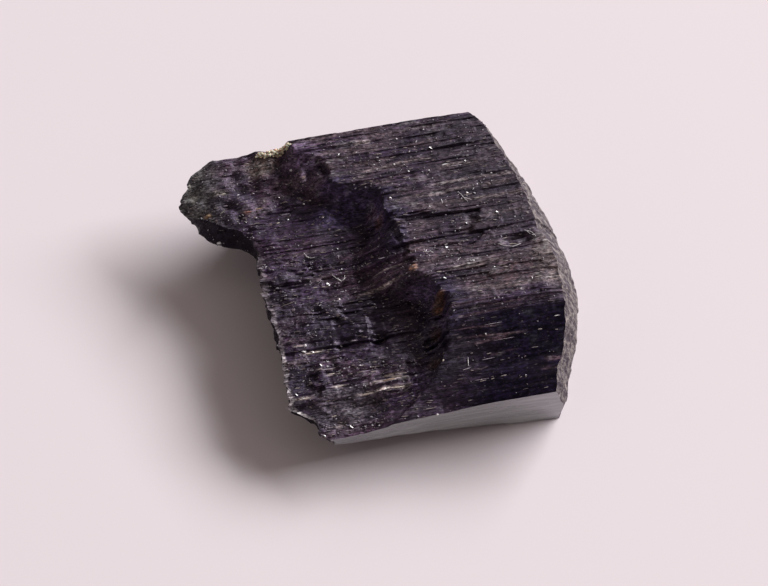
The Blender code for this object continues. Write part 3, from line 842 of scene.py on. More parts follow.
# Soft patches of colour: x, lane, radius along x, radius across, strength, colour.
PATCHES = (
    (9.0, -2.4, 4.6, 2.0, 0.7, (0.050, 0.029, 0.031)),      # bright striated band above the front slope
    (12.2, -1.8, 1.6, 3.4, 0.75, (0.096, 0.072, 0.066)),    # weathered edge of the right end
    (12.9, -4.2, 0.35, 1.6, 0.6, (0.130, 0.105, 0.095)),
    (9.6, 11.0, 4.5, 1.6, 0.6, (0.016, 0.013, 0.018)),      # dark back right corner
    (-2.0, 6.2, 3.2, 1.6, 0.9, (0.058, 0.042, 0.104)),      # inner corner of the recess, which lies in shade: painted shade colour, a blue-violet
    (-2.4, -2.8, 4.8, 3.1, 0.85, (0.0060, 0.0034, 0.0100)),
    (-4.6, -3.2, 3.6, 2.1, 0.8, (0.0066, 0.0038, 0.0110)),
    (-1.0, -6.4, 2.6, 1.6, 0.6, (0.010, 0.007, 0.016)), (-7.6, -6.9, 1.3, 1.6, 0.7, (0.007, 0.006, 0.014)),
    (8.2, 8.8, 5.8, 4.0, 0.55, (0.030, 0.022, 0.034)), (-9.8, 8.6, 2.4, 2.8, 0.5, (0.018, 0.012, 0.026)),
    (0.8, -5.4, 2.6, 2.6, 0.7, (0.008, 0.005, 0.012)),
    (-8.3, 7.6, 1.3, 0.7, 0.7, PINKISH), (-6.4, 9.4, 1.2, 0.9, 0.5, PINKISH),
    # The knob's patches on the next three lines, at (-4.6, 9.0), (-4.3, 10.7) and (-3.6, 8.7), are its own
    # pink-violet mottles, painted paler as painted light that lifts the shade of the plateau on the knob.
    (-4.6, 9.0, 0.9, 0.7, 0.6, PINKISH),
    (-4.3, 10.7, 2.0, 1.6, 0.8, (0.105, 0.066, 0.125)), (-9.6, 10.4, 1.4, 0.8, 0.5, (0.030, 0.020, 0.030)),
    (-3.6, 8.7, 1.1, 0.7, 0.6, PINKISH),
    # Painted shade: the next line darkens the front part of the scarp, which faces away from the light.
    (2.6, -6.0, 1.6, 3.8, 0.85, (0.012, 0.009, 0.024)), (2.9, -8.4, 1.8, 1.8, 0.85, (0.008, 0.006, 0.013)),
    (5.0, -7.6, 3.6, 2.6, 0.8, (0.008, 0.005, 0.011)),
    (-6.0, 4.2, 2.8, 1.4, 0.7, (0.034, 0.014, 0.036)),      # violet blades
    (1.5, 2.3, 1.5, 1.5, 0.85, (0.013, 0.009, 0.028)),      # painted shade: dark blue just below the lip of the gentle ramp, where the small step at the lip casts shade
    (-7.7, -0.8, 1.4, 3.4, 0.6, (0.008, 0.006, 0.011)),
    (9.8, 5.4, 6.2, 7.5, 0.85, (0.022, 0.014, 0.020)),      # darker right half of the top face
    (-4.5, -9.5, 3.6, 2.0, 0.75, (0.086, 0.072, 0.090)),     # paler laths at the front left
    (-7.4, 11.0, 1.7, 1.2, 0.6, (0.110, 0.080, 0.060)), (-10.9, 9.4, 1.0, 0.35, 0.6, (0.17, 0.15, 0.125)),
    (-12.9, 9.6, 0.35, 0.9, 0.5, (0.15, 0.14, 0.12)), (-11.6, 10.6, 1.6, 0.5, 0.6, (0.016, 0.016, 0.018)),
    (-11.2, 8.6, 1.2, 0.4, 0.6, (0.016, 0.014, 0.018)), (-9.4, 9.4, 0.9, 0.6, 0.7, (0.012, 0.009, 0.017)),
    (0.5, 4.5, 0.45, 0.6, 0.6, STAIN), (0.2, 5.6, 0.6, 0.8, 0.3, STAIN),
    (2.2, -0.6, 0.45, 0.3, 1.0, (0.42, 0.24, 0.17)),
    (3.6, -3.5, 0.7, 0.8, 0.9, STAIN), (3.0, -5.6, 0.6, 0.8, 0.35, STAIN),
    (2.4, -7.8, 0.7, 0.5, 0.3, STAIN),
    (-12.1, 7.9, 0.35, 0.25, 1.0, (0.16, 0.08, 0.03)), (-9.1, 7.5, 0.5, 0.25, 0.8, (0.12, 0.07, 0.06)),
)

STREAK_WAVE = 0.6                    # how far a streak swerves, as a share of its half width
STREAK_CORE = 0.4                    # full strength within this share of its half width
STREAK_FADE = 0.8                    # longest fade at its ends
STREAK_FADE_SHARE = 0.3              # the fade of a short streak, as a share of its length
DARK_STREAK = (0.010, 0.007, 0.014)
# Painted glints: pale lines on single blades, standing for blades that catch the light.
GLINT_STREAK = (0.50, 0.41, 0.39)
BAND_STREAK = (0.125, 0.098, 0.094)
ROSE_STREAK = (0.085, 0.050, 0.062)

# Streaks along the blades, painted in this order: a colour, then x from, x to, lane, half width
# and strength of each.
STREAKS = (
    (DARK_STREAK, (
        # on top
        (3.0, 12.5, 4.95, 0.32, 0.8), (3.0, 8.4, 3.35, 0.45, 0.8), (5.8, 12.0, 6.7, 0.35, 0.75),
        (3.0, 8.0, 10.6, 0.5, 0.7), (6.0, 9.6, 9.5, 0.4, 0.7), (3.0, 8.2, 1.4, 0.3, 0.7),
        (9.0, 11.6, 2.1, 0.4, 0.8), (5.0, 10.6, -0.45, 0.3, 0.7), (4.6, 9.0, -1.8, 0.3, 0.7),
        (6.8, 9.0, 8.1, 0.25, 0.6), (-1.0, 3.0, 7.8, 0.25, 0.6), (0.0, 5.0, 9.1, 0.25, 0.5),
        # in the recess
        (-6.4, 0.0, 4.8, 0.4, 0.7), (-6.6, -3.4, -4.6, 0.4, 0.7), (-8.4, -4.0, -1.5, 0.4, 0.7),
        (-8.4, -4.0, 1.3, 0.3, 0.6), (-8.6, -6.5, -6.1, 0.35, 0.6), (-5.6, -0.8, 2.8, 0.3, 0.6),
    )),
    (BAND_STREAK, (
        # on top
        (4.6, 11.6, 6.1, 0.2, 0.5), (2.2, 10.8, 5.4, 0.2, 0.45), (3.0, 11.6, 4.45, 0.2, 0.45),
        (0.0, 5.0, 8.6, 0.25, 0.5), (5.8, 9.0, 7.45, 0.25, 0.4), (5.0, 11.6, -1.25, 0.25, 0.4),
        (5.8, 12.0, -3.6, 0.3, 0.4), (8.5, 11.8, 2.75, 0.2, 0.35),
        # in the recess
        (-8.3, -6.4, -5.4, 0.25, 0.3), (-6.4, -3.8, 3.4, 0.2, 0.35), (-6.2, -4.0, 4.1, 0.15, 0.3),
        (-5.8, -4.0, 0.9, 0.2, 0.3),
    )),
    (GLINT_STREAK, (
        # painted glints of blades at the front of the recess
        (-3.5, 0.2, -8.82, 0.09, 1.0), (-2.3, 0.1, -8.2, 0.08, 0.6), (-1.5, 0.0, -7.9, 0.08, 0.5),
        (-6.9, -5.6, -4.9, 0.08, 0.8), (-7.6, -6.8, -4.4, 0.08, 0.5), (-6.6, -4.9, -6.6, 0.08, 0.5),
    )),
    (ROSE_STREAK, ((-0.9, 1.4, 0.55, 0.12, 0.5), (-1.2, 1.8, -0.35, 0.16, 0.6))),
    (GLINT_STREAK, ((-1.6, 1.2, -0.85, 0.1, 0.45), (-0.4, 1.6, 0.05, 0.08, 0.4))),
    (DARK_STREAK, ((-1.8, 2.0, 1.15, 0.22, 0.7), (-2.0, 2.2, -1.35, 0.2, 0.6))),
    (GLINT_STREAK, (
        (-5.6, -4.7, -7.0, 0.08, 0.6), (-8.2, -6.9, -8.4, 0.08, 0.7), (-5.3, -4.3, -8.0, 0.08, 0.8),
        (-5.9, -3.9, -9.6, 0.08, 0.4), (-6.2, -5.0, -10.6, 0.08, 0.35), (-4.7, -3.6, -9.3, 0.07, 0.4),
        (0.0, 1.0, 10.85, 0.1, 0.5), (6.2, 7.8, 7.55, 0.1, 0.3),
    )),
    (ROSE_STREAK, (
        # on the front slope
        (4.6, 9.0, -5.35, 0.07, 0.8), (4.6, 7.2, -6.3, 0.07, 0.8), (4.2, 8.6, -3.7, 0.08, 0.6),
        (5.2, 10.4, -4.15, 0.07, 0.7), (3.9, 7.4, -4.45, 0.07, 0.6), (6.4, 11.2, -4.85, 0.06, 0.6),
    )),
    (DARK_STREAK, ((4.2, 9.8, -3.95, 0.07, 0.8), (4.4, 9.0, -5.05, 0.08, 0.8))),
    (ROSE_STREAK, (
        (4.4, 9.2, -6.95, 0.06, 0.9), (6.2, 8.0, -7.2, 0.16, 0.7), (4.4, 6.2, -7.45, 0.06, 0.7),
        (6.6, 8.4, -8.15, 0.06, 0.9), (4.8, 6.0, -9.0, 0.08, 0.6), (10.6, 11.8, -9.1, 0.16, 0.7),
        (10.2, 11.4, -9.8, 0.1, 0.7), (4.0, 5.4, -4.6, 0.1, 0.5),
    )),
)


def mixed(first, second, share):
    return first + (np.asarray(second) - first) * share[:, None]


def plain(color, x):
    """The same colour at every point."""
    return np.tile(color, (len(x), 1))


def ground_tone(x, lane, on_prism):
    """Colour of the blades and of the recess, before the scarp, the patches and the streaks."""
    blade = strip_of(BLADES, lane)
    slope_edge = TOP_FRONT_EDGE + SLOPE_EDGE_SHIFT * smoothstep(*SLOPE_EDGE_SHIFTS, x)
    slope = smoothstep(slope_edge + SLOPE_TONE_FROM, slope_edge + SLOPE_TONE_FULL, lane)
    hue = 0.5 + 0.5 * stepped(x, blade, BLADE_STRETCH, BLADE_RAMP, SEED + 19)
    hue = np.clip(hue + HUE_WANDER * knots(x, lane, HUE_KNOTS), 0.0, 1.0)
    violet = np.clip(hue + SLOPE_VIOLET * slope * (1.0 - hue), 0.0, 1.0)
    prism = mixed(plain(BROWN_GREY, x), VIOLET_DARK, violet)
    prism = mixed(prism, NEAR_BLACK, np.clip(smooth_share(x, lane) * SMOOTH_BLACK, 0.0, 1.0))
    brown = smoothstep(*RECESS_BROWNS, knots(x, lane, RECESS_KNOTS)) * grain_share(x, lane)
    recess = mixed(plain(VIOLET_DARK, x), BROWN_VIOLET, brown)
    recess = mixed(recess, GREY_GREEN, 1.0 - smoothstep(*GREEN_ARM, x))
    return mixed(recess, prism, smoothstep(*PRISM_TONES, on_prism))


def scarp_tone(tone, x, lane, on_prism):
    """Painted light and shade on the scarp: the gentle ramp is painted paler for its dim grazing light, the
    shaded steep part gets a painted blue-violet shade colour, and darker violet lies behind its lip.
    """
    scarp = scarp_share(x, lane)
    tone = tone * (1.0 + (RAMP_PAINTED_LIGHT * scarp * (1.0 - steepness(lane)))[:, None])
    deep = steepness(lane) * smoothstep(*SCARP_SHADE_FRONT, lane)
    deep *= 1.0 - smoothstep(*SCARP_SHADE_BACK, lane)
    tone = mixed(tone, SCARP_SHADE_PAINT, SCARP_SHADE_PAINTING * scarp * deep)
    from_lip = x - read_off(SCARP, lane) + LIP_WANDER * knots(x, lane, LIP_KNOTS)
    return mixed(tone, LIP_DARK, LIP_DARKENING * deep * on_prism * (1.0 - smoothstep(*LIP_REACH, from_lip)))


def streak_tone(tone, x, lane):
    listed = [(color, *row) for color, rows in STREAKS for row in rows]
    for number, (color, x_from, x_to, streak_lane, reach, strength) in enumerate(listed):
        wave = STREAK_WAVE * knots(x, number + 0.0 * x, STREAK_KNOTS)
        beside = smoothstep(reach, STREAK_CORE * reach, np.abs(lane - streak_lane + wave * reach))
        fade = min(STREAK_FADE, STREAK_FADE_SHARE * (x_to - x_from))
        within = smoothstep(x_from - fade, x_from + fade, x) * smoothstep(x_to + fade, x_to - fade, x)
        tone = mixed(tone, color, strength * beside * within)
    return tone


def rim_reflection_tone(tone, x, lane):
    """The painted reflection along the left end: a pale rim where the left face reflects the bright paper."""
    inwards = x - read_off(LEFT_TOP, lane) + RIM_WANDER * knots(x, lane, RIM_KNOTS)
    reflecting = smoothstep(*RIM_BEGINS, lane) * (1.0 - RIM_THINNING * smoothstep(*RIM_THINS, lane))
    reflecting *= 1.0 - smoothstep(*RIM_ENDS, lane)
    return mixed(tone, RIM_REFLECTION_PAINT, RIM_STRENGTH * reflecting * (1.0 - smoothstep(*RIM_WIDTH, inwards)))


def tone_at(x, lane):
    """Base colour of the upper surface, by what part of the crystal a point is on."""
    on_prism = prism_share(x, lane)
    tone = scarp_tone(ground_tone(x, lane, on_prism), x, lane, on_prism)
    for *place, strength, color in PATCHES:
        tone = mixed(tone, color, strength * spot(x, lane, *place))
    tone = rim_reflection_tone(streak_tone(tone, x, lane), x, lane)
    blade = strip_of(BLADES, lane)
    brightness = BLADE_CONTRAST * stepped(x, blade, 0.5 * BLADE_STRETCH, BLADE_RAMP, SEED + 18)
    for contrast, knot_sizes in BRIGHTNESS_KNOTS:
        brightness += contrast * knots(x, lane, knot_sizes)
    tone = tone * np.exp(brightness)[:, None]
    greyness = PALE_GREYNESS * smoothstep(0.0, 1.0, brightness)
    return mixed(tone, tone.mean(axis=1, keepdims=True), greyness)


# ------------------------------------------------------------------------------------- the pieces

SMOOTHING = 0.85                     # how far the smooth blades lose their roughness,
CALM_SMOOTHING = 0.6                 # and the calm floor of the recess
CALM_GRAINLESS = 0.85                # how far that floor loses its grain


def add_object(name, data):
    added = bpy.data.objects.new(name, data)
    bpy.context.scene.collection.objects.link(added)
    return added


def add_piece(name, mesh, material_list):
    for material in material_list:
        mesh.materials.append(material)
    piece = add_object(name, mesh)
    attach(piece, BODY)
    return piece


def store(mesh, name, kind, field, values):
    """Keeps a value for each corner of the mesh, for its material to read."""
    layer = mesh.attributes.new(name, kind, "POINT")
    layer.data.foreach_set(field, values.astype(np.float32).ravel())


def paint(mesh, tones):
    store(mesh, "tone", "FLOAT_COLOR", "color", np.column_stack([tones, np.ones(len(tones))]))


def merge_flat_base(mesh, base_quads):
    """Fills the flat part of the base, which needs no lattice, with few triangles."""
    shape = bmesh.new()
    shape.from_mesh(mesh)
    shape.faces.ensure_lookup_table()
    flat = []
    for face in shape.faces[base_quads]:
        if all(abs(vert.co.z) < FLAT_LIMIT for vert in face.verts):
            flat.append(face)
    slot_number = flat[0].material_index
    bmesh.ops.delete(shape, geom=flat, context="FACES")
    rim = [edge for edge in shape.edges if edge.is_boundary]
    down = (0.0, 0.0, -1.0)
    made = bmesh.ops.triangle_fill(shape, edges=rim, use_beauty=False, use_dissolve=False, normal=down)
    for item in made["geom"]:
        if isinstance(item, bmesh.types.BMFace):
            item.material_index = slot_number
    shape.to_mesh(mesh)
    shape.free()


def surface_lattice():
    """The quads of each sheet, the corners of them all, and u, lane and level of every corner."""
    rows = lane_rows()
    counts = (2 * END_COLUMNS + BODY_COLUMNS, len(rows) - 1, LEVEL_COUNT)
    lanes, levels = counts[1] + 1, counts[2] + 1
    sheets = {name: sheet_quads(name, counts) for name in SHEETS}
    quads = np.concatenate(list(sheets.values()))
    keys = (quads[:, :, 0] * lanes + quads[:, :, 1]) * levels + quads[:, :, 2]
    unique, corners = np.unique(keys, return_inverse=True)
    level = unique % levels / counts[2]
    lane = rows[unique // levels % lanes]
    u = unique // (lanes * levels) / counts[0]
    return sheets, corners.reshape(keys.shape), u, lane, level


def store_looks(mesh, x, lane):
    """Colour, grain, clods and roughness of each corner, for the bladed material."""
    tones = tone_at(x, lane)
    calm = calm_share(x, lane)
    grain = grain_share(x, lane) * smoothstep(*SPECKED_TONES, tones.mean(axis=1))
    roughened = 1.0 - SMOOTHING * smooth_share(x, lane) - CALM_SMOOTHING * calm
    paint(mesh, tones)
    store(mesh, "grain", "FLOAT", "value", grain * (1.0 - CALM_GRAINLESS * calm))
    store(mesh, "clods", "FLOAT", "value", clod_share(x, lane))
    store(mesh, "roughened", "FLOAT", "value", roughened)


def make_crystal():
    sheets, corners, u, lane, level = surface_lattice()
    places = surface_points(u, lane, level)
    x = places[:, 0]
    mesh = bpy.data.meshes.new("crystal")
    mesh.from_pydata(((places - (*ORIGIN, 0.0)) * MM).tolist(), [], corners.tolist())
    materials = crystal_materials()
    slots = list(dict.fromkeys(materials.values()))
    numbers = [slots.index(materials[name]) for name, sheet in sheets.items() for _ in range(len(sheet))]
    mesh.polygons.foreach_set("material_index", numbers)
    store_looks(mesh, x, lane)

    base_start = len(sheets["top"])
    merge_flat_base(mesh, slice(base_start, base_start + len(sheets["base"])))
    mesh.shade_smooth()
    mesh.set_sharp_from_angle(angle=SHARP_ANGLE)
    piece = add_piece("crystal", mesh, slots)
    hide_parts(NODE)
    return piece


# ------------------------------------------------------------------------------ small loose pieces

DUST_COUNT = 2300
DUST_SIZES = (0.022, 0.062)          # smallest and largest radius
DUST_STRETCH = (1.0, 2.2)            # length of a speck, in its widths
DUST_FLATNESS = 0.7                  # thickness of a speck, in its widths
DUST_PALE = (0.50, 0.47, 0.53)
DUST_DARK = (0.12, 0.09, 0.105)
DUST_DARKNESS = 2.2                  # exponent: above 1, dark specks outnumber pale ones
SPLINTER_COUNT = 620
SPLINTER_LENGTHS = (0.10, 0.42)      # half lengths
SPLINTER_WIDTHS = (0.018, 0.040)     # half widths
SPLINTER_TURN = math.radians(7.0)    # greatest angle to the blades
# Splinters run from dark to pale: chips of blade edges, the pale ones in part painted glints.
SPLINTER_COLORS = ((0.10, 0.075, 0.085), (0.42, 0.36, 0.34))
FLAKE_COUNT = 300
FLAKE_COLORS = ((0.030, 0.020, 0.034), (0.190, 0.140, 0.150))
FLAKE_SIZES = (0.05, 0.13)
FLAKE_LEAN = math.radians(32.0)      # greatest tilt of a flake from the surface under it
FLAKE_STRETCH = 1.6                  # length and thickness of a flake, in its widths
FLAKE_THICKNESS = 0.22
FLATNESS = 0.8                       # thickness of a splinter, a sliver or a grain, in its widths
SUNK_SHARE = 0.3                     # how much of a loose piece's height is in the surface
LEAST_CORNER = 0.72                  # least radius of a corner of a grain,
CORNER_JITTER = 0.5                  # and what is added to it at most
LOOSE_MOTTLE = (9.0, 9.0, 9.0)       # fine mottling of the loose pieces, in knots per millimetre

# Where loose pieces may land.
SCATTER_X = (-13.5, 12.5)
SCATTER_MARGIN = 0.2                 # from the front and back faces
SCATTER_LEAST_UP = 0.2               # least upward part of the surface's normal

# How likely dust stays at a place: everywhere, more on grain, in heaps and on the gentle ramp, and
# less on the front slope, the smooth blades and the calm floor.
DUST_EVERYWHERE = 0.22
DUST_ON_GRAIN = 0.6
DUST_CLUSTERS = (0.0, 0.7)
DUST_HEAPS = ((4.5, 0.0, 2.5, 1.8, 0.5), (0.8, 8.8, 3.2, 2.2, 0.35))    # x, lane, two reaches, more
DUST_ON_RAMP = 0.3
DUST_OFF_SLOPE = 0.6
DUST_OFF_SMOOTH = 0.7
DUST_OFF_CALM = 0.75

# How likely a splinter stays: in clusters, and most at the front left.
SPLINTERS_EVERYWHERE = 0.25
SPLINTERS_IN_CLUSTERS = 0.5
SPLINTERS_BEHIND = 0.4
SPLINTER_CLUSTERS = (-0.4, 0.6)
SPLINTER_FRONT = (-4.0, -6.0)
SPLINTER_RIGHT = (1.0, 4.0)
SPLINTERS_OFF_SMOOTH = 0.65

# Single slivers and grains: x, lane, half length, half width, turn in degrees, colour.
CREAM = (0.60, 0.52, 0.46)
PALE = (0.72, 0.68, 0.70)
LILAC = (0.38, 0.32, 0.38)
TAN = (0.30, 0.20, 0.13)
MARKS = (
    (-2.45, -8.84, 0.95, 0.045, 1, CREAM), (-0.85, -8.80, 0.95, 0.07, -1, CREAM),   # painted glints along the front ledge
    (-1.1, -8.25, 0.7, 0.05, 4, TAN), (-0.55, -8.05, 0.55, 0.06, -3, (0.26, 0.21, 0.18)),
    (-0.9, -7.85, 0.6, 0.04, 2, (0.30, 0.25, 0.22)), (-1.8, -8.35, 0.5, 0.04, 5, LILAC),
    # The long cream and lilac slivers on this line and the next seven, at the front left of the recess, are
    # painted glints of blades catching the light.
    (-6.2, -4.95, 0.7, 0.05, 2, CREAM), (-6.7, -4.35, 0.13, 0.12, 20, PALE),
    (-6.9, -4.75, 0.12, 0.2, 80, PALE),
    (-5.7, -6.55, 0.8, 0.045, 1, LILAC), (-5.1, -6.9, 0.45, 0.05, -4, CREAM),
    (-7.5, -8.45, 0.55, 0.045, 2, CREAM),
    (-4.8, -8.0, 0.42, 0.045, 3, CREAM), (-4.9, -9.6, 0.75, 0.04, 0, LILAC),
    (-5.6, -9.9, 0.3, 0.05, 5, CREAM),
    (-5.4, -6.2, 0.12, 0.09, 0, PALE), (-3.1, -4.6, 0.3, 0.05, 0, LILAC),
    (-4.2, -9.3, 0.5, 0.035, 0, LILAC),
    (7.0, 7.5, 0.62, 0.04, 0, LILAC), (6.3, 7.75, 0.3, 0.05, 4, PALE), (5.4, 4.6, 0.24, 0.03, 100, PALE),
    (3.1, 10.7, 0.08, 0.08, 0, PALE), (2.5, 8.5, 0.09, 0.08, 0, PALE), (9.6, 6.4, 0.1, 0.07, 0, PALE),
    (9.8, 0.15, 0.55, 0.035, -8, CREAM), (11.3, 0.75, 0.3, 0.04, -50, PALE),
    (11.6, 0.4, 0.2, 0.035, -20, PALE),
    (3.4, 0.6, 0.13, 0.05, 60, PALE), (3.8, 0.35, 0.14, 0.05, -20, PALE), (5.0, 1.0, 0.14, 0.04, 20, PALE),
    (2.6, 0.75, 0.12, 0.05, 80, LILAC), (5.6, -0.6, 0.3, 0.04, 30, PALE), (6.7, -0.9, 0.12, 0.07, 0, PALE),
    (-10.7, 9.25, 0.38, 0.07, 8, (0.34, 0.30, 0.27)), (-13.0, 10.5, 0.36, 0.09, 96, (0.30, 0.29, 0.26)),
    (-10.6, 8.4, 0.28, 0.05, -5, LILAC), (-10.9, 7.9, 0.3, 0.06, 25, (0.26, 0.24, 0.22)),
    (-12.0, 7.9, 0.22, 0.16, 10, TAN), (-9.0, 7.5, 0.3, 0.07, 0, (0.34, 0.16, 0.14)),
    (-8.2, 7.7, 0.4, 0.06, 4, TAN),
    (-5.2, 10.1, 0.12, 0.1, 0, PALE), (-4.2, 7.7, 0.1, 0.08, 0, PALE), (-4.7, 7.5, 0.11, 0.07, 0, PALE),
    (-4.4, 9.2, 0.2, 0.14, 30, (0.30, 0.22, 0.22)), (-6.2, 7.0, 0.38, 0.04, 0, LILAC),
    (-6.9, 6.35, 0.14, 0.06, 12, CREAM),
    (1.9, -11.3, 0.13, 0.11, 0, PALE), (4.8, -8.25, 0.05, 0.2, 0, PALE), (4.6, -8.75, 0.35, 0.03, 8, LILAC),
    (3.0, -7.9, 0.12, 0.07, 50, CREAM), (8.1, -7.2, 1.1, 0.018, 1, LILAC),
    (7.2, -6.1, 0.9, 0.018, 0, LILAC),
    (5.9, -9.6, 0.9, 0.018, 0, LILAC), (6.3, -8.3, 0.5, 0.03, 3, LILAC), (11.9, -6.3, 0.28, 0.03, 0, PALE),
    # Painted highlight: a white fleck for the glint on the dark lobe under the arm.
    (-11.5, 6.15, 0.28, 0.12, 5, (0.95, 0.95, 1.0)),
    (-3.2, 0.65, 0.3, 0.05, -55, PALE), (-2.8, 0.7, 0.2, 0.04, 40, PALE), (-2.95, 2.6, 0.05, 0.4, 0, LILAC),
    (0.25, 1.1, 0.42, 0.05, 0, LILAC), (-5.2, 3.0, 0.25, 0.05, -30, PALE), (-8.9, -3.9, 0.2, 0.1, 70, PALE),
)

# Fibres of lint: points (x, lane) that each follows, and its height above the surface.
LINT_RADIUS = 0.017
LINT_STEPS = 6                       # between two points of a fibre
LINT = (
    (((6.75, 5.15), (6.95, 4.85), (7.1, 4.45), (7.3, 4.15)), 0.05),
    (((7.1, 4.5), (7.35, 4.4), (7.6, 4.25)), 0.05),
    (((11.0, 0.95), (11.35, 0.85), (11.6, 0.55), (11.7, 0.25)), 0.06),
    (((8.9, 0.0), (9.5, -0.2), (10.1, -0.2), (10.5, 0.05)), 0.06),
    (((4.85, -8.0), (4.8, -8.3), (4.75, -8.6)), 0.05),
    (((3.3, 0.9), (3.2, 0.55), (3.5, 0.35), (3.75, 0.5)), 0.05),
    (((-3.7, 1.1), (-3.4, 0.75), (-3.1, 0.5), (-2.85, 0.6), (-2.75, 0.95)), 0.05),
    (((-5.45, 3.4), (-5.25, 3.0), (-5.0, 2.8), (-4.7, 2.85)), 0.05),
    (((-9.0, -4.4), (-9.1, -3.9), (-8.9, -3.4), (-9.0, -3.0)), 0.05),
)

# A heap of pale mineral grains in the notch at the back: its middle (x, lane), reach and height.
HEAP_MIDDLE = (-6.3, 11.85)
HEAP_REACH = (1.4, 0.3)
HEAP_HEIGHT = 0.4
HEAP_GRAINS = 260
HEAP_SIZES = (0.04, 0.12)
HEAP_STRETCH = 1.3
HEAP_COLORS = ((0.50, 0.36, 0.26), (0.95, 0.80, 0.62))
PALE_DEPTH = 0.4                     # how deep light goes into a pale grain,
PALE_DEPTH_SHARE = 0.3               # and how much of it


def grain_template():
    """Corners and faces of a rounded grain of unit radius."""
    shape = bmesh.new()
    bmesh.ops.create_icosphere(shape, subdivisions=1, radius=1.0)
    corners = np.array([vert.co for vert in shape.verts])
    faces = np.array([[vert.index for vert in face.verts] for face in shape.faces])
    shape.free()
    return corners, faces


def frame_on(normal, turn):
    """Two directions in the surface, the first at an angle to the blades, and the normal."""
    along = Vector((math.cos(turn), math.sin(turn), 0.0))
    across = normal.cross(along).normalized()
    return np.array([across.cross(normal).normalized(), across, normal])


def loose_piece(name, grains, material):
    """One mesh of many grains. Each has a centre, three axes with lengths, a colour and a jitter seed."""
    corners, faces = grain_template()
    points, polygons, colors = [], [], []
    for number, (centre, axes, color) in enumerate(grains):
        jitter = LEAST_CORNER + CORNER_JITTER * chance(np.arange(len(corners)), number, SEED + 70)
        points.append(centre + (corners * jitter[:, None]) @ axes)
        polygons.append(faces + number * len(corners))
        colors.append(np.tile(color, (len(corners), 1)))
    mesh = bpy.data.meshes.new(name)
    mesh.from_pydata((np.concatenate(points) * MM).tolist(), [], np.concatenate(polygons).tolist())
    paint(mesh, np.concatenate(colors))
    return add_piece(name, mesh, [material])


def surface_below(surface, x, lane):
    """Point in millimetres and normal of the crystal straight below a place, or None off the crystal."""
    start = Vector((x - ORIGIN[0], lane - ORIGIN[1], 2.0 * TOP_HEIGHT)) * MM
    point, normal, _, _ = surface.ray_cast(start, Vector((0.0, 0.0, -1.0)))
    return None if point is None else (np.array(point) / MM, normal)


def scattered(surface, count, likely, seed):
    """Random places on top of the crystal, kept with the given likelihood, as (rng, point, normal)."""
    rng = random.Random(seed)
    found = []
    while len(found) < count:
        x = rng.uniform(*SCATTER_X)
        lane = rng.uniform(FRONT_LANE + SCATTER_MARGIN, BACK_LANE - SCATTER_MARGIN)
        keep = rng.random() < float(likely(np.array([x]), np.array([lane]))[0])
        landed = surface_below(surface, x, lane) if keep else None
        if landed and landed[1].z > SCATTER_LEAST_UP:
            found.append((rng, *landed))
    return found


def dust_likelihood(x, lane):
    clusters = smoothstep(*DUST_CLUSTERS, knots(x, lane, DUST_KNOTS))
    spread = DUST_EVERYWHERE + DUST_ON_GRAIN * grain_share(x, lane) * clusters
    for centre_x, centre_lane, reach_x, reach_lane, more in DUST_HEAPS:
        away = ((x - centre_x) / reach_x) ** 2 + ((lane - centre_lane) / reach_lane) ** 2
        spread += more * np.exp(-away)
    spread += DUST_ON_RAMP * scarp_share(x, lane) * (1.0 - steepness(lane))
    slope = prism_share(x, lane) * smoothstep(TOP_FRONT_EDGE, TOP_FRONT_EDGE - 1.0, lane)
    spread *= 1.0 - DUST_OFF_SLOPE * slope
    spread *= 1.0 - DUST_OFF_SMOOTH * smooth_share(x, lane)
    return spread * (1.0 - DUST_OFF_CALM * calm_share(x, lane))


def splinter_likelihood(x, lane):
    clusters = smoothstep(*SPLINTER_CLUSTERS, knots(x, lane, SPLINTER_KNOTS))
    front = smoothstep(*SPLINTER_FRONT, lane) * (1.0 - smoothstep(*SPLINTER_RIGHT, x))
    spread = SPLINTERS_EVERYWHERE + SPLINTERS_IN_CLUSTERS * clusters * (SPLINTERS_BEHIND + front)
    return spread * (1.0 - SPLINTERS_OFF_SMOOTH * smooth_share(x, lane))


def blend_colors(first, second, share):
    return tuple(a + (b - a) * share for a, b in zip(first, second))


def make_dust(surface, material):
    grains = []
    for rng, point, normal in scattered(surface, DUST_COUNT, dust_likelihood, SEED + 80):
        size = DUST_SIZES[0] + (DUST_SIZES[1] - DUST_SIZES[0]) * rng.random() ** 2
        axes = frame_on(normal, rng.uniform(-1.0, 1.0))
        axes = axes * [[size * rng.uniform(*DUST_STRETCH)], [size], [DUST_FLATNESS * size]]
        color = blend_colors(DUST_DARK, DUST_PALE, rng.random() ** DUST_DARKNESS)
        grains.append((point + axes[2] * (1.0 - SUNK_SHARE), axes, color))
    return loose_piece("dust", grains, material)


def make_splinters(surface, material):
    grains = []
    for rng, point, normal in scattered(surface, SPLINTER_COUNT, splinter_likelihood, SEED + 81):
        length = rng.uniform(*SPLINTER_LENGTHS) * rng.uniform(0.5, 1.0)
        width = rng.uniform(*SPLINTER_WIDTHS)
        turn = rng.uniform(-SPLINTER_TURN, SPLINTER_TURN)
        axes = frame_on(normal, turn) * [[length], [width], [FLATNESS * width]]
        color = blend_colors(*SPLINTER_COLORS, rng.random() ** 2)
        grains.append((point + axes[2] * (1.0 - SUNK_SHARE), axes, color))
    return loose_piece("splinters", grains, material)


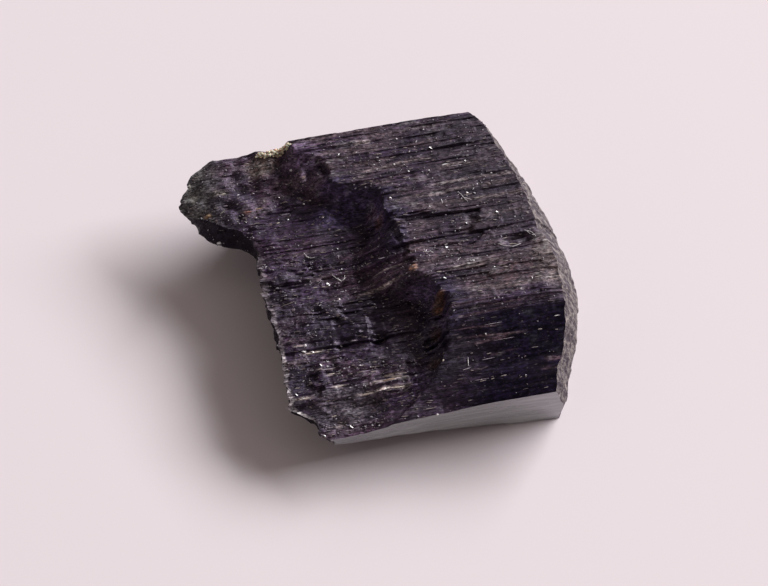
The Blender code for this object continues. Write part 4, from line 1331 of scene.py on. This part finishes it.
def make_flakes(surface, material):
    grains = []
    for rng, point, normal in scattered(surface, FLAKE_COUNT, dust_likelihood, SEED + 82):
        lean = Vector((rng.uniform(-1.0, 1.0), rng.uniform(-1.0, 1.0), 0.0)) * math.tan(FLAKE_LEAN)
        size = rng.uniform(*FLAKE_SIZES)
        axes = frame_on((normal + lean).normalized(), rng.uniform(-0.5, 0.5))
        axes = axes * [[FLAKE_STRETCH * size], [size], [FLAKE_THICKNESS * size]]
        grains.append((point, axes, blend_colors(*FLAKE_COLORS, rng.random())))
    return loose_piece("flakes", grains, material)


def make_marks(surface, material):
    grains = []
    for x, lane, length, width, turn, color in MARKS:
        landed = surface_below(surface, x, lane)
        if landed:
            point, normal = landed
            axes = frame_on(Vector((0.0, normal.y, 1.0)).normalized(), math.radians(turn))
            axes = axes * [[length], [width], [FLATNESS * min(length, width)]]
            grains.append((point, axes, color))
    return loose_piece("slivers", grains, material)


def make_lint(surface, material):
    """Fine fibres lying on the crystal, as one mesh of bent tubes."""
    curve = bpy.data.curves.new("lint", "CURVE")
    curve.dimensions = "3D"
    curve.bevel_depth = LINT_RADIUS * MM
    curve.bevel_resolution = 2
    curve.resolution_u = LINT_STEPS
    curve.use_fill_caps = True
    for path, lift in LINT:
        landed = [surface_below(surface, x, lane) for x, lane in path]
        points = [found[0] + (0.0, 0.0, lift) for found in landed if found]
        spline = curve.splines.new("NURBS")
        spline.points.add(len(points) - 1)
        spline.use_endpoint_u = True
        spline.order_u = 3
        for place, point in zip(spline.points, points):
            place.co = (*(point * MM), 1.0)
    carrier = bpy.data.objects.new("lint_path", curve)
    mesh = bpy.data.meshes.new_from_object(carrier)
    mesh.name = "lint"
    bpy.data.objects.remove(carrier)
    paint(mesh, np.tile(PALE, (len(mesh.vertices), 1)))
    mesh.materials.clear()
    return add_piece("lint", mesh, [material])


def make_pale_crumb(surface, material):
    rng = random.Random(SEED + 83)
    grains = []
    while len(grains) < HEAP_GRAINS:
        reach = rng.uniform(0.0, 1.0)
        turn = rng.uniform(0.0, 2.0 * math.pi)
        x = HEAP_MIDDLE[0] + HEAP_REACH[0] * reach * math.cos(turn)
        lane = HEAP_MIDDLE[1] + HEAP_REACH[1] * reach * math.sin(turn)
        size = rng.uniform(*HEAP_SIZES)
        color = blend_colors(*HEAP_COLORS, rng.random())
        height = HEAP_HEIGHT * (1.0 - reach * reach) * rng.random()
        landed = surface_below(surface, x, lane)
        if landed:
            axes = frame_on(Vector((0.0, 0.0, 1.0)), turn)
            axes = axes * [[HEAP_STRETCH * size], [size], [FLATNESS * size]]
            grains.append((landed[0] + (0.0, 0.0, height), axes, color))
    return loose_piece("pale_crumb", grains, material)


def tone_material(name, roughness, ior, spread):
    """A material that takes its colour from the mesh, mottled finely by the given spread."""
    material, tree, shader = new_material(name, ior)
    shader.inputs["Roughness"].default_value = roughness
    mottle = stretched_noise(tree, LOOSE_MOTTLE, 2.0).outputs["Fac"]
    factor = remap(tree, mottle, *MOTTLE_RANGE, 1.0 - spread, 1.0 + spread)
    color = mix_colors(tree, "MULTIPLY", 1.0, attribute(tree, "tone", "Color"), grey(tree, factor))
    tree.links.new(color, shader.inputs["Base Color"])
    return material


def make_loose_pieces(crystal):
    surface = BVHTree.FromObject(crystal, bpy.context.evaluated_depsgraph_get())
    powder = tone_material("dust", roughness=0.85, ior=1.45, spread=0.25)
    glossy = tone_material("amphibole_flakes", roughness=0.16, ior=1.7, spread=0.3)
    pale = tone_material("pale_mineral", roughness=0.45, ior=1.52, spread=0.3)
    inputs = pale.node_tree.nodes["Principled BSDF"].inputs
    inputs["Subsurface Weight"].default_value = PALE_DEPTH_SHARE
    inputs["Subsurface Scale"].default_value = PALE_DEPTH * MM
    make_dust(surface, powder)
    make_splinters(surface, powder)
    make_flakes(surface, glossy)
    make_marks(surface, powder)
    make_lint(surface, powder)
    make_pale_crumb(surface, pale)


# -------------------------------------------------------------------------------------- the stage

VIEW_ELEVATION = math.radians(60.0)
VIEW_TURN = math.radians(10.9)       # the camera looks this far to the right of +Y
VIEW_DISTANCE = 220.0
VIEW_TARGET = (0.24, 1.336, 0.0)
SENSOR_WIDTH = 36.0
FOCAL_LENGTH = 134.06
NEAREST_SEEN = 0.01                  # in metres

KEY_AZIMUTH = math.radians(27.0)     # from +X towards +Y: right of the object and a little behind
KEY_ELEVATION = math.radians(28.5)
KEY_DISTANCE = 2.0
KEY_SIZE = (1.87, 0.66)
KEY_ENERGY = 74.5
WORLD_COLOR = (1.0, 0.87, 0.82)
WORLD_STRENGTH = 0.29
DARK_STRENGTH = 0.03                 # of the dark part of the room, around the viewer
DARK_FROM, DARK_TO = 0.70, 0.95      # cosines of the angle to the viewer where it starts and is full
FLOOR_SIZE = 2.0
PAPER = (0.83, 0.75, 0.79)
PAPER_ROUGHNESS = 0.9
PAPER_GLOSS = 0.1


def direction(azimuth, elevation):
    return Vector((
        math.cos(azimuth) * math.cos(elevation), math.sin(azimuth) * math.cos(elevation), math.sin(elevation),
    ))


def make_camera():
    lens = bpy.data.cameras.new("camera")
    lens.sensor_width = SENSOR_WIDTH
    lens.lens = FOCAL_LENGTH
    camera = add_object("camera", lens)
    back = direction(-math.pi / 2.0 - VIEW_TURN, VIEW_ELEVATION)
    camera.location = (Vector(VIEW_TARGET) + back * VIEW_DISTANCE) * MM
    camera.rotation_euler = (-back).to_track_quat("-Z", "Y").to_euler()
    lens.clip_start = NEAREST_SEEN
    bpy.context.scene.camera = camera


def make_light():
    lamp = bpy.data.lights.new("key", "AREA")
    lamp.shape = "RECTANGLE"
    lamp.size, lamp.size_y = KEY_SIZE
    lamp.energy = KEY_ENERGY
    light = add_object("key", lamp)
    towards = direction(KEY_AZIMUTH, KEY_ELEVATION)
    light.location = towards * KEY_DISTANCE
    light.rotation_euler = towards.to_track_quat("Z", "Y").to_euler()


def make_world():
    world = bpy.data.worlds.new("room")
    bpy.context.scene.world = world
    world.use_nodes = True
    tree = world.node_tree
    background = tree.nodes["Background"]
    background.inputs["Color"].default_value = (*WORLD_COLOR, 1.0)
    place = node(tree, "ShaderNodeTexCoord")
    towards = node(tree, "ShaderNodeVectorMath", operation="DOT_PRODUCT")
    towards.inputs[1].default_value = direction(-math.pi / 2.0 - VIEW_TURN, VIEW_ELEVATION)
    tree.links.new(place.outputs["Generated"], towards.inputs[0])
    strength = remap(tree, towards.outputs["Value"], DARK_FROM, DARK_TO, WORLD_STRENGTH, DARK_STRENGTH)
    tree.links.new(strength, background.inputs["Strength"])


def make_floor():
    mesh = bpy.data.meshes.new("paper")
    half = FLOOR_SIZE / 2.0
    corners = [(-half, -half, 0), (half, -half, 0), (half, half, 0), (-half, half, 0)]
    mesh.from_pydata(corners, [], [(0, 1, 2, 3)])
    material, _, shader = new_material("paper")
    shader.inputs["Base Color"].default_value = (*PAPER, 1.0)
    shader.inputs["Roughness"].default_value = PAPER_ROUGHNESS
    shader.inputs["Specular IOR Level"].default_value = PAPER_GLOSS
    mesh.materials.append(material)
    floor = add_object("paper", mesh)


make_camera()
make_light()
make_world()
make_floor()
make_loose_pieces(make_crystal())
bpy.context.scene.view_settings.view_transform = "Standard"
